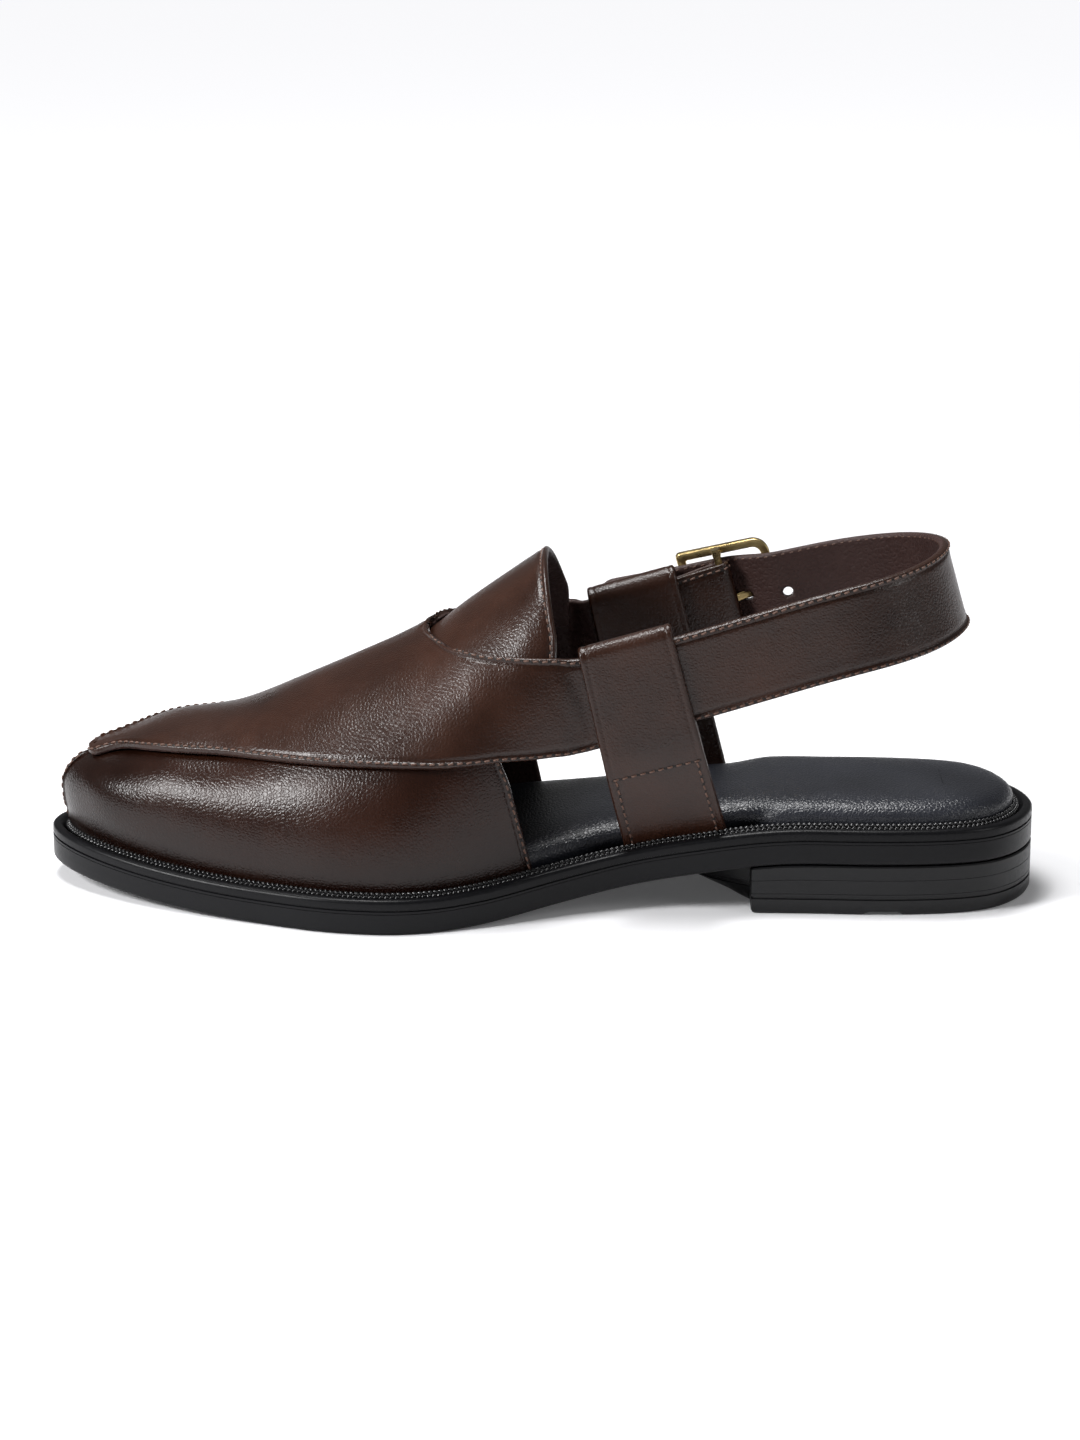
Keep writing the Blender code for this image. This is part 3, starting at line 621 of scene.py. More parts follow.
def make_stitches(name, thread, look, radius, slant, rise):
    """Each stitch is a short bowed thread with both ends in the leather."""
    vertices = []
    faces = []
    sides = circle(6)
    for middle, ahead, normal in stitches[thread]:
        ahead, across, normal = thread_frame(ahead, normal, slant)
        faces += tube(len(vertices), len(sides), len(bow))
        for along, up, thick in bow:
            centre = middle + ahead * along * stitch_length + normal * (up * radius + rise)
            vertices += [centre + thick * radius * (across * x + normal * y) for x, y in sides]
    show(mesh_object(name, vertices, faces, look))


def make_needle_hole_shade(name, thread, look, slant, radius=0.00042, rise=0.00004, crown=0.00003):
    """A small dark disc at each end of each stitch: painted shade where the needle hole would be."""
    vertices = []
    faces = []
    sides = circle(7)
    for middle, ahead, normal in stitches[thread]:
        ahead, across, normal = thread_frame(ahead, normal, slant)
        for end in (-0.55, 0.55):
            start = len(vertices)
            centre = middle + ahead * end * stitch_length + normal * rise
            vertices.append(centre + normal * crown)
            for k, (x, y) in enumerate(sides):
                vertices.append(centre + radius * (ahead * x + across * y))
                faces.append((start, start + 1 + k, start + 1 + (k + 1) % len(sides)))
    show(mesh_object(name, vertices, faces, look))


# Materials

def fill(tree, node, inputs):
    for name, value in inputs.items():
        if isinstance(value, bpy.types.NodeSocket):
            tree.links.new(value, node.inputs[name])
        else:
            node.inputs[name].default_value = value


def add(tree, kind, inputs, output, **settings):
    """A node with its inputs linked or set. Returns one of its outputs."""
    node = tree.nodes.new("ShaderNode" + kind)
    for key, value in settings.items():
        setattr(node, key, value)
    fill(tree, node, inputs)
    return node.outputs[output]


def place_in(tree):
    return add(tree, "TexCoord", {}, "Object")


def noise(tree, where, scale, detail, roughness, distortion=0.0):
    given = {"Vector": where, "Scale": scale, "Detail": detail, "Roughness": roughness}
    return add(tree, "TexNoise", {**given, "Distortion": distortion}, "Fac")


def spread(tree, value, start, end, low=0.0, high=1.0, kind="LINEAR"):
    given = {"Value": value, "From Min": start, "From Max": end, "To Min": low, "To Max": high}
    return add(tree, "MapRange", given, "Result", interpolation_type=kind)


def product(tree, first, second):
    return add(tree, "Math", {0: first, 1: second}, "Value", operation="MULTIPLY")


def scaled(tree, colour, factor):
    return add(tree, "VectorMath", {0: colour, "Scale": factor}, "Vector", operation="SCALE")


def make_grain_group():
    """Pebbled leather: cells, fine pores and soft broad wrinkles as a height, and a mottle for the colour."""
    group = bpy.data.node_groups.new("leather_grain", "ShaderNodeTree")
    group.interface.new_socket(name="Cells", in_out="INPUT", socket_type="NodeSocketFloat")
    for label in ("Height", "Mottle"):
        group.interface.new_socket(name=label, in_out="OUTPUT", socket_type="NodeSocketFloat")
    where = place_in(group)
    scale = group.nodes.new("NodeGroupInput").outputs["Cells"]
    cells = add(group, "TexVoronoi", {"Vector": where, "Scale": scale, "Randomness": 0.9}, "Distance",
                feature="DISTANCE_TO_EDGE")
    pores = noise(group, where, 1500.0, 3.0, 0.6)
    wrinkles = noise(group, where, 60.0, 1.0, 0.4, 0.4)
    height = 0.0
    for value, share in ((spread(group, cells, 0.0, 0.28), 0.55), (pores, 0.45), (wrinkles, 0.9)):
        height = add(group, "Math", {0: value, 1: share, 2: height}, "Value", operation="MULTIPLY_ADD")
    mottle = noise(group, where, 26.0, 4.0, 0.62)
    fill(group, group.nodes.new("NodeGroupOutput"), {"Height": height, "Mottle": mottle})
    return group


grain = make_grain_group()


def new_look(name):
    look = bpy.data.materials.new(name)
    look.use_nodes = True
    return look, look.node_tree, look.node_tree.nodes["Principled BSDF"]


def relief_in(tree, height, strength, distance):
    return add(tree, "Bump", {"Height": height, "Strength": strength, "Distance": distance}, "Normal")


def leather_look(name, dark, light, roughness, bump, cells=900.0, coat=0.05, specular=0.25, darkening_toe_range=None):
    look, tree, shader = new_look(name)
    surface = tree.nodes.new("ShaderNodeGroup")
    surface.node_tree = grain
    surface.inputs["Cells"].default_value = cells
    mottle = surface.outputs["Mottle"]
    shades = {"Factor": spread(tree, mottle, 0.3, 0.7), 6: (*dark, 1.0), 7: (*light, 1.0)}
    colour = add(tree, "Mix", shades, 2, data_type="RGBA")
    # The colour is made darker towards the toe and towards the sole, by position alone.
    if darkening_toe_range:
        where = place_in(tree)
        x, z = (add(tree, "SeparateXYZ", {"Vector": where}, axis) for axis in "XZ")
        toe = spread(tree, x, *darkening_toe_range, 0.42, 1.0, "SMOOTHSTEP")
        low = spread(tree, z, 0.012, 0.036, 0.55, 1.0, "SMOOTHSTEP")
        colour = scaled(tree, colour, product(tree, toe, low))
    fill(tree, shader, {
        "Base Color": colour,
        "Roughness": spread(tree, mottle, 0.3, 0.7, roughness - 0.05, roughness + 0.06),
        "Specular IOR Level": specular,
        "Coat Weight": coat,
        "Coat Roughness": 0.25,
        "Normal": relief_in(tree, surface.outputs["Height"], bump, 0.00028),
    })
    return look


def plain_look(name, colour, roughness, metallic=0.0, speckle=0.0, speckle_scale=900.0, bump=0.2,
               specular=0.5):
    """Rubber, thread or metal: one colour, worn a little by a fine noise."""
    look, tree, shader = new_look(name)
    worn = noise(tree, place_in(tree), speckle_scale, 4.0, 0.6)
    fill(tree, shader, {
        "Base Color": scaled(tree, colour, spread(tree, worn, 0.3, 0.7, 1 - speckle, 1 + speckle)),
        "Roughness": spread(tree, worn, 0.3, 0.7, roughness - 0.06, roughness + 0.06),
        "Metallic": metallic,
        "Specular IOR Level": specular,
        "Normal": relief_in(tree, worn, bump, 0.0001),
    })
    return look


brown_dark = (0.0125, 0.0041, 0.0020)
brown_light = (0.031, 0.0104, 0.0050)
upper_look = leather_look("upper_brown", brown_dark, brown_light, 0.30, 0.34, specular=0.34)
vamp_look = leather_look("vamp_brown", (0.0100, 0.0031, 0.0016), (0.0240, 0.0076, 0.0038), 0.26, 0.30,
                         darkening_toe_range=(-0.155, -0.085))
strap_look = leather_look("strap_brown", brown_dark, brown_light, 0.31, 0.36, specular=0.34)
lining_look = leather_look("lining_brown", (0.026, 0.0122, 0.0105), (0.040, 0.0195, 0.0168), 0.50, 0.7,
                           650.0, 0.0)
insole_look = leather_look("insole_navy", (0.010, 0.0112, 0.0155), (0.0155, 0.017, 0.0235), 0.34, 0.60,
                           850.0, specular=0.45)
rubber_look = plain_look("sole_rubber", (0.0042, 0.0042, 0.0050), 0.36, speckle=0.12, specular=0.16)
heel_look = plain_look("heel_rubber_worn", (0.0048, 0.0048, 0.0055), 0.42, speckle=0.15, specular=0.3)
thread_look = plain_look("copper_thread", (0.088, 0.042, 0.027), 0.55, speckle=0.35, speckle_scale=2500.0)
# Painted shade of the needle holes: a near-black colour stands in for the shade inside each hole.
needle_hole_shade_look = plain_look("needle_dark", (0.006, 0.003, 0.002), 0.8)
welt_look = plain_look("welt_thread", (0.014, 0.014, 0.015), 0.26, 0.0, 0.6, 1800.0, 0.6)
brass_look = plain_look("antique_brass", (0.44, 0.33, 0.15), 0.30, 1.0, speckle=0.30, speckle_scale=160.0)


# Sole unit, heel block and insole

turns = [i / 180 for i in range(181)]


def ring_of(inset, height, ring_turns=turns):
    """Medial points from toe to heel, then lateral points back."""
    def point(side, turn):
        x, y = inset_edge(side, turn, inset(turn) if callable(inset) else inset)
        return np.array([x, y, height(x)]) + frame_shift
    medial = [point(-1, turn) for turn in ring_turns]
    return medial + [point(1, turn) for turn in reversed(ring_turns[1:-1])]


def stacked(name, rings, look, node):
    """Closed rings joined one to the next, with both ends closed from side to side."""
    count = len(rings[0])
    vertices = [point for ring in rings for point in ring]
    faces = tube(0, count, len(rings))
    for start, turned in ((0, True), ((len(rings) - 1) * count, False)):
        for i in range(count // 2):
            corners = [start + k for k in (i, i + 1, count - i - 1, (count - i) % count)]
            corners = list(dict.fromkeys(corners))
            faces.append(corners[::-1] if turned else corners)
    item = mesh_object(name, vertices, faces, look)
    settle_normals(item, 38)
    return show(item, node)


def line_in_wall(height, depth, half):
    """A moulded line round a wall, from its upper to its lower lip."""
    lips = ((0.0, half), (depth, half * 0.5), (depth, -half * 0.5), (0.0, -half))
    return [(inset, height + rise) for inset, rise in lips]


rim_fillet = 0.0013
tread_fillet = 0.0011
side_grooves = ((0.0032, 0.0005, 0.00035), (0.0043, 0.0002, 0.00012))
sole_profile = [(rim_width * 1.15, platform_height), (rim_width * 1.02, platform_height + rim_depth * 0.25)]
sole_profile += arc_points(rim_width * 0.56, sole_thickness - rim_depth * 0.62, tread_fillet, 30, 90, 5)
sole_profile += arc_points(rim_fillet, sole_thickness - rim_fillet, rim_fillet, 90, 180, 5)
for drop, depth, half in side_grooves:
    sole_profile += line_in_wall(sole_thickness - drop, depth, half)
sole_profile += [(0.0, 0.0035)] + arc_points(tread_fillet, tread_fillet, tread_fillet, 180, 270, 5)
stacked("sole_unit", [ring_of(inset, lambda x, rise=rise: lift(x) + rise) for inset, rise in sole_profile],
        rubber_look, "outsole")

breast_x = sole_length / 2 - heel_block_length
breast_turn = turn_of(place_of(breast_x))
heel_turns = [breast_turn + (1 - breast_turn) * i / 60 for i in range(61)]
notch_x = breast_x + heel_block_length * 0.46
notch_easing = 0.0003
fine_line = (0.00012, 0.0001)


def heel_ring(inset, height, web, corner=0.0008):
    """Round the heel block: the web's arch at the front, then both sides back to the heel."""
    front = breast_x + inset
    reach = web * arch_web_length
    half_web = heel_width * 0.30
    arch = [(front - reach * (1 - s * s), s * half_web) for s in (0.0, 0.2, 0.4, 0.6, 0.75, 0.9)]
    arch.append((front, half_web))
    halves = []
    for side in (-1, 1):
        wall = inset_edge(side, breast_turn, inset)[1]
        half = [(x, side * y) for x, y in arch]
        half += [(front, wall - side * corner), (front + corner * 0.3, wall - side * corner * 0.3)]
        halves.append(half + [tuple(inset_edge(side, turn, inset)) for turn in heel_turns[1:]])
    medial, lateral = halves
    return [np.array([x, y, height(x)]) + frame_shift for x, y in medial + lateral[1:-1][::-1]]


def seam_levels(height_of, web, depth=0.0005, half=0.0004):
    levels = line_in_wall(0.0, depth, half)
    return [(inset, lambda x, shift=shift: height_of(x) + shift, web) for inset, shift in levels]


def with_notch(height):
    """The underside is hollowed a little across the middle of the heel."""
    def raised(x):
        half = heel_notch_width / 2
        inside = 1 - ease(abs(x - notch_x), half - notch_easing, half + notch_easing)
        return max(height(x), heel_notch_depth * inside)
    return raised


heel_levels = [(0.0004, lambda x: lift(x) - gap, 1.0), (0.0, lambda x: lift(x) - gap - 0.0004, 1.0)]
for share, web in ((0.56, 0.90), (0.14, 0.79)):
    heel_levels += seam_levels(
        lambda x, share=share: top_piece_height + (lift(x) - top_piece_height) * share, web, *fine_line)
heel_levels += seam_levels(lambda x: top_piece_height, 0.74)
for inset, height, web in ((0.0, 0.0012, 0.36), (0.0004, 0.0004, 0.30), (0.0011, 0.0, 0.25)):
    heel_levels.append((inset, lambda x, height=height: height, web))
heel_rings = [heel_ring(inset, with_notch(height), web) for inset, height, web in heel_levels]
stacked("heel", heel_rings, heel_look, "heel_block")


def insole_inset(turn):
    """The padded insole keeps inside the leather that comes down beside it."""
    x = -math.cos(math.pi * turn) * sole_length / 2
    beside_vamp = feather_inset + vamp_wall + 3 * gap
    beside_loop = feather_inset + 2 * loop_wall + 5 * gap
    loop_start = loop_front * math.cos(strap_tilt) - loop_flare * 2
    loop_end = loop_start + loop_width + loop_flare * 2
    beside = beside_vamp + (beside_loop - beside_vamp) * ease(x, x_at(0) + vamp_length, loop_start)
    return feather_inset + (beside - feather_inset) * (1 - ease(x, loop_end, loop_end + insole_easing))


insole_profile = (
    (0.0012, 0.0), (0.0004, 0.05), (0.0, 0.14), (0.0, 0.30), (0.0, 0.44), (0.0003, 0.54), (0.0009, 0.64),
    (0.0017, 0.73), (0.0028, 0.81), (0.0042, 0.87), (0.006, 0.915), (0.0085, 0.95), (0.0115, 0.975),
    (0.015, 0.99), (0.019, 1.0),
)
insole_rings = [
    ring_of(lambda turn, extra=extra: insole_inset(turn) + extra,
            lambda x, share=share: lift(x) + platform_height + gap + insole_thickness * share)
    for extra, share in insole_profile
]
insole = stacked("insole_pad", insole_rings, insole_look, "insole")


# Two rows of worked stitches in the channel between the rim and the leather

def channel_row(thread, inset, rise, count=420):
    steps = [i / 400 for i in range(401)]
    line = ring_of(inset, lambda x: lift(x) + platform_height + rise, steps)
    line = np.array(line + line[:1])
    normals = np.zeros_like(line) + np.array([0.0, 0.0, 1.0])
    stitch(thread, line, normals, 0.0, 0.0, arc_of(line)[-1] / (count + 0.5))


channel_row("welt_outer", rim_width + 0.0010, 0.0009)
channel_row("welt_inner", feather_inset - 0.0006, 0.0016)


# Vamp

def vamp_back(across):
    """The vamp's rear edge, which sweeps back towards the sole."""
    crest_x = throat_x - vamp_under_overlay
    foot_x = x_at(0) + vamp_length + vamp_flare
    swept = crest_x + (foot_x - crest_x) * ease(abs(across), 0.05, 0.80)
    return swept - vamp_lean * min((1 - abs(across)) / 0.25, 1.0) * ease(abs(across), 0.05, 0.40)


def vamp_point(side, i, j):
    across = side * (1 - j / vamp_columns)
    row = row_at(vamp_back(across)) * i / vamp_rows
    point = last_point(row, across)
    if row < slit_row:
        middle = centre_line(place_of(point[0]))
        point[1] = middle + side * max(side * (point[1] - middle), toe_slit / 2)
    return point


def toe_swell(points):
    """The toe quarters are moulded fuller."""
    x, z = points[..., 0], points[..., 2]
    return 0.0006 * np.exp(-((x + 0.128) / 0.016) ** 2 - ((z - 0.030) / 0.009) ** 2)


vamp_grids = []
vamp_edges = []
for side in (-1, 1):
    grid = [[vamp_point(side, i, j) for j in range(vamp_columns + 1)] for i in range(vamp_rows + 1)]
    points, rows = refine(grid, grid_step, "er")
    slit_end = int(np.searchsorted(rows, slit_row / row_at(throat_x) * vamp_rows)) + 2
    vamp_grids.append(points)
    vamp_edges.append([points[-1], points[:slit_end, -1]])
surfaces = leather(
    "vamp_leather_laid", "vamp", vamp_grids, vamp_wall, -1.0, (-0.05, 0.0, 0.02),
    (vamp_look, lining_look), vamp_edges, swell=toe_swell,
)
for surface, edges in zip(surfaces, vamp_edges):
    sew(surface, "e", last=int(surface[0].shape[1] * 0.8), start=0.002)
    sew(surface, "r", last=len(edges[1]))


# Instep piece

def instep_front(share):
    x = throat_x
    for _ in range(8):
        x = vamp_back(share * across_at(row_at(x), instep_skirt)) + 3 * gap
    return x


def instep_back(share):
    lean = instep_lean_lateral if share > 0 else instep_lean
    return x_at(0) + instep_reach + lean * min(abs(share), 0.8) ** 2


def instep_line(share):
    front, back = instep_front(share), instep_back(share)
    rows = [row_at(front + (back - front) * i / 14) for i in range(15)]
    return [last_point(row, share * across_at(row, instep_skirt)) for row in rows]


points, _rows = refine([instep_line(j / 18 - 1) for j in range(37)], grid_step, "r")
surfaces = leather(
    "instep_leather_laid", "instep_piece", [points], vamp_wall, -1.0, (0.0, 0.0, 0.04),
    (upper_look, lining_look), [[points[:, -1]]],
)
sew(surfaces[0], "r", instep_seam_inset)


# Overlay with its two wings

lower_curve = Curve(column(edge_table, "place"), column(edge_table, "lower"))
upper_curve = Curve(column(throat_table, "place"), column(throat_table, "upper"))


def overlay_edges(side, x):
    place = place_of(x)
    base = feather_height(x)
    lower = base + overlay_edge_height * lower_curve(place)
    upper = base + throat_height * upper_curve(place)
    settled = ease(x, loop_foot_x - wing_settling, loop_foot_x)
    lower += (height_of_strap_line(x, wing_lower) - lower) * settled
    upper += (height_of_strap_line(x, wing_upper + climb_on(side)) - upper) * settled
    return lower, upper


def last_normal(row, across):
    step = 0.01
    side = -1 if across < 0 else 1
    near = min(max(abs(across), step * 1.01), 1 - step)
    over = last_point(row, side * (near + step)) - last_point(row, side * (near - step))
    if abs(across) < step:
        over = np.array([0.0, over[1], 0.0])
    along = last_point(min(row + 0.05, last_rows[-1]), across) - last_point(max(row - 0.05, 0.0), across)
    normal = np.cross(over, along) * side
    return -normal / np.linalg.norm(normal)


def laid_on(row, across, out):
    return last_point(row, across) + out * last_normal(row, across)


def overlay_line(side, x, shares):
    """One section of the overlay's inner face, from its lower edge to the throat edge."""
    lean = ease(x, throat_x, loop_foot_x)
    line = []
    for share in shares:
        wanted = x
        for _ in range(6 if lean > 0 else 1):
            lower, upper = overlay_edges(side, wanted)
            row = row_at(wanted)
            top = last_point(row, 0.0)[2]
            if wanted <= throat_x or upper >= top:
                upper = top
            height = lower + (upper - lower) * share
            middle = height_of_strap_line(wanted, strap_height)
            wanted = x - lean * (height - middle) * math.tan(strap_tilt)
        base = last_point(row, 1.0)[2]
        low_across = across_at(row, lower - base)
        high_across = 0.0 if upper == top else across_at(row, upper - base)
        across = low_across + (high_across - low_across) * share
        point = laid_on(row, side * across, overlay_gap)
        up = min(height * math.cos(strap_tilt) - wanted * math.sin(strap_tilt), wing_upper)
        loop_line = from_strap(loop_edge(side, 0.0, up), 0.0, up)[0] - gap
        flat = ease(wanted, instep_back(side) + 4 * gap, loop_line)
        point[1] += (side * (band_outside - overlay_wall) - point[1]) * flat
        line.append(point)
    return line


def overlay_low(row):
    def above_edge(across):
        x, _y, height = last_point(row, across)
        return height > overlay_edges(-1, x)[0]
    return halve(above_edge, 20)


def overlay_grid(side, shares):
    reach = [place * sole_length for place in column(last_table, "crest")]
    tip_row = float(np.interp(overlay_tip_place, reach, last_rows))
    throat_row = row_at(throat_x)
    marks = [i / overlay_front_rows for i in range(overlay_front_rows + 1)]
    front = [(row, overlay_low(row)) for row in (tip_row + (throat_row - tip_row) * mark for mark in marks)]
    front[0] = (tip_row, front[1][1] * 0.12)
    wing = from_strap(wing_end, 0.0, strap_height)[0] - throat_x
    back = [throat_x + wing * (i / overlay_back_rows) ** 1.5 for i in range(1, overlay_back_rows + 1)]
    grid = []
    for row, low in front:
        out = overlay_gap * (0.25 + 0.75 * ease(row, tip_row, tip_row + 1.5))
        grid.append([laid_on(row, side * low * (1 - share), out) for share in shares])
    return np.array(grid + [overlay_line(side, x, shares) for x in back])


def settle_rows(points, index, reach, fade=10, rounds=30):
    """Evens out the surface along the rows on both sides of the throat, away from the throat edge."""
    columns = points.shape[1]
    weight = np.clip((columns - 1 - np.arange(columns)) / fade, 0.0, 1.0)[None, :, None]
    part, ahead, behind = (slice(index - reach + by, index + reach + by) for by in (0, 1, -1))
    for _ in range(rounds):
        points[part] += weight * (points[ahead] + points[behind] - 2 * points[part]) / 4


overlay_grids = []
overlay_free = []
for side in (-1, 1):
    points, rows = refine(overlay_grid(side, [j / 12 for j in range(13)]), grid_step, "slr")
    throat_index = int(np.searchsorted(rows, overlay_front_rows))
    settle_rows(points, throat_index, 16)
    overlay_grids.append(points)
    overlay_free.append([points[0], points[:, 0], points[throat_index:, -1]])
surfaces = leather(
    "overlay_leather_laid", "overlay", overlay_grids, overlay_wall, 1.0,
    (-0.03, 0.0, 0.03), (upper_look, lining_look), overlay_free, crest_rows=throat_index,
)
for surface in surfaces:
    sew(surface, "l", first=2, start=0.003)
    sew(surface, "r", first=throat_index + 3)


# Loops

def loop_path(side, along, slot_outside):
    """Up from the sole outside the band, over it and back down inside it."""
    half_wall = loop_wall / 2
    outer = slot_outside + half_wall
    inner = band_outside - strap_wall - gap - half_wall
    bend = (outer - inner) / 2
    fold_up = loop_top + climb_on(side) - half_wall - bend
    slot_foot = wing_lower - 4 * gap
    up = loop_foot_up
    for _ in range(8):
        x = from_strap(along, 0.0, up)[0]
        up = (feather_height(x) + loop_foot_clearance - along * math.sin(strap_tilt)) / math.cos(strap_tilt)
    foot_y = abs(inset_edge(side, turn_of(place_of(x)), feather_inset + half_wall)[1])
    outer_leg = []
    inner_leg = []
    for i in range(17):
        s = i / 16
        height = up + (slot_foot - up) * s
        out = foot_y + (outer - foot_y) * math.sin(s * math.pi / 2)
        folded = ease(height, slot_foot - loop_spread, slot_foot)
        outer_leg.append((out, height))
        inner_leg.append((out - (loop_wall + gap) * (1 - folded) - (outer - inner) * folded, height))
    for i in range(1, 12):
        height = slot_foot + (fold_up - slot_foot) * i / 12
        outer_leg.append((outer, height))
        inner_leg.append((inner, height))
    return outer_leg + arc_points((outer + inner) / 2, fold_up, bend, 0, 180, 12) + inner_leg[::-1]


def make_loop(node, side, slot_outside):
    grid = []
    for j in range(7):
        share = j / 6
        path = loop_path(side, loop_edge(side, share, loop_foot_up), slot_outside)
        grid.append([from_strap(loop_edge(side, share, up), side * out, up) for out, up in path])
    points, _rows = refine(grid, loop_grid_step, "se")
    middle = points.reshape(-1, 3).mean(axis=0)
    inside = (middle[0], side * (band_outside - strap_wall / 2), middle[2])
    (line, normals), = leather(
        node + "_laid", node, [points], loop_wall, 0.0, inside, (strap_look, lining_look),
        [[points[0], points[-1]]], cut_edge,
    )
    height = line[len(line) // 2, :, 2]
    box_top = int(np.searchsorted(height[: len(height) // 2], height[0] + loop_box_height))
    for edge_name in "se":
        sew((line, normals), edge_name, loop_seam_inset, last=box_top + 1, start=0.0012, end=0.0)
    stitch("upper", line[3:-3, box_top], normals[3:-3, box_top], 0.001, 0.001)


make_loop("medial_loop", -1, band_outside + gap)

# Heel strap

buckle_strap_out = band_outside + gap
bar_out = buckle_strap_out + bar_radius
fold_outside = bar_out + bar_radius + gap + buckle_strap_wall
over_bar = fold_outside + gap + strap_wall / 2
loop_outside = band_outside + gap + buckle_strap_wall + gap + loop_wall
over_loop = loop_outside + gap + strap_wall / 2
strap_leaves = buckle_bar_place + strap_approach
buckle_rear = buckle_bar_place + buckle_back

make_loop("lateral_loop", 1, loop_outside - loop_wall)


def strap_out(along):
    """How far out the middle of the strap lies on the lateral side: over the bar, then over the loop."""
    on_bar = ease(-along, -strap_leaves, -buckle_bar_place - 0.001)
    on_loop = ease(-along, -buckle_bar_place, -buckle_bar_place + buckle_front)
    return strap_half_span + (over_bar - strap_half_span) * on_bar - (over_bar - over_loop) * on_loop


def strap_centre(along, side):
    back = (strap_reach - along) / (strap_reach - strap_tail)
    if side > 0:
        return strap_height - strap_dip + strap_climb * back ** 1.35
    corner = strap_reach - strap_round
    hump = strap_hump * ease(along, loop_front + loop_width, corner)
    return strap_height + hump - (strap_dip + hump) * ease(along, corner, strap_reach)


def strap_stations():
    """The strap's way from the medial loop round the heel and over the buckle to its end."""
    corner = strap_reach - strap_round
    start = wing_end + gap
    stations = [(start + (corner - start) * i / 10, -strap_half_span, -1) for i in range(10)]
    for i in range(33):
        angle = math.pi * i / 32
        out = -strap_half_span * math.cos(angle)
        stations.append((corner + strap_round * math.sin(angle), out, 1 if i > 16 else -1))
    for i in range(1, 61):
        along = corner + (strap_tail - corner) * i / 60
        stations.append((along, strap_out(along), 1))
    return stations


def prong_line():
    radius = bar_radius + gap + prong_wall / 2
    leaves = math.radians(25)
    start = (buckle_bar_place + radius * math.cos(leaves), bar_out + radius * math.sin(leaves))
    inner_edge = buckle_rear - rail_width
    rest = buckle_plane(inner_edge) + rail_depth / 2 + 2 * gap + prong_wall / 2
    return start, (inner_edge - prong_wall, rest)


def prong_crossing():
    (start, start_out), (end, end_out) = prong_line()

    def inside_strap(along):
        return start_out + (end_out - start_out) * (along - start) / (end - start) < strap_out(along)
    return halve(inside_strap, 30, start, end)


def buckle_plane(along):
    rear_rail = buckle_rear - rail_width / 2
    front_rail = buckle_bar_place - buckle_front + rail_width / 2
    rear_out = strap_out(rear_rail - 0.002) + strap_wall / 2 + 2 * gap + rail_depth / 2
    front_out = strap_out(front_rail) + strap_wall / 2 + 2 * gap + rail_depth / 2
    s = (along - rear_rail) / (front_rail - rear_rail)
    return rear_out + (front_out - rear_out) * s


def buckle_centre(along):
    middle = strap_centre(buckle_bar_place, 1)
    return middle + 0.3 * (strap_centre(along, 1) - middle)


strap_grid = []
for along, out, side in strap_stations():
    tip = min((along - strap_tail) / tail_round, 1.0) if side > 0 and out > 0 else 1.0
    half = strap_width / 2 * (0.35 + 0.65 * math.sqrt(max(1 - (1 - tip) ** 2, 0.0)))
    centre = strap_centre(along, side)
    strap_grid.append([from_strap(along, out, centre + half * s / 4) for s in range(-4, 5)])
points, _rows = refine(strap_grid, grid_step, "elr")
surfaces = leather(
    "heel_strap_laid", "heel_strap", [points], strap_wall, 0.0, (0.06, 0.0, 0.075),
    (strap_look, lining_look), [[points[:, 0], points[:, -1], points[-1]]],
)
for edge_name in "lr":
    line, normals = seam(surfaces[0], edge_name, end=-8)
    stitch("upper", line, normals, 0.001, 0.001)
    stitch("upper", line - normals * strap_wall, -normals, 0.001, 0.001)


def punch(item, name, along, radius, stretch=1.0):
    """A hole through a strap on the lateral side, cut with a cylinder that is then taken away."""
    made = bmesh.new()
    bmesh.ops.create_cone(made, cap_ends=True, segments=24, radius1=radius, radius2=radius, depth=0.012)
    mesh = bpy.data.meshes.new(name)
    made.to_mesh(mesh)
    made.free()
    cutter = new_object(name, mesh)
    place = Vector(from_strap(along, strap_out(along), strap_centre(along, 1))) + Vector(frame_shift)
    turn = Matrix.Rotation(-strap_tilt, 4, "Y") @ Matrix.Rotation(math.pi / 2, 4, "X")
    cutter.matrix_world = Matrix.Translation(place) @ turn @ Matrix.Diagonal((stretch, 1.0, 1.0, 1.0))
    cut = item.modifiers.new(name, "BOOLEAN")
    cut.operation = "DIFFERENCE"
    cut.solver = "EXACT"
    cut.object = cutter
    bpy.context.view_layer.update()
    solid = bpy.data.meshes.new_from_object(item.evaluated_get(bpy.context.evaluated_depsgraph_get()))
    item.modifiers.remove(cut)
    old = item.data
    item.data = solid
    bpy.data.meshes.remove(old)
    bpy.data.objects.remove(cutter)


strap = bpy.data.objects["heel_strap_laid"]
for i in range(-2, 2):
    along = prong_crossing() + hole_spacing * i
    if i == 0:
        punch(strap, "prong_slot", along, prong_width / 2 + gap / 2, 1.2)
    else:
        punch(strap, f"strap_hole_{i + 3}", along, hole_radius)


# Buckle strap

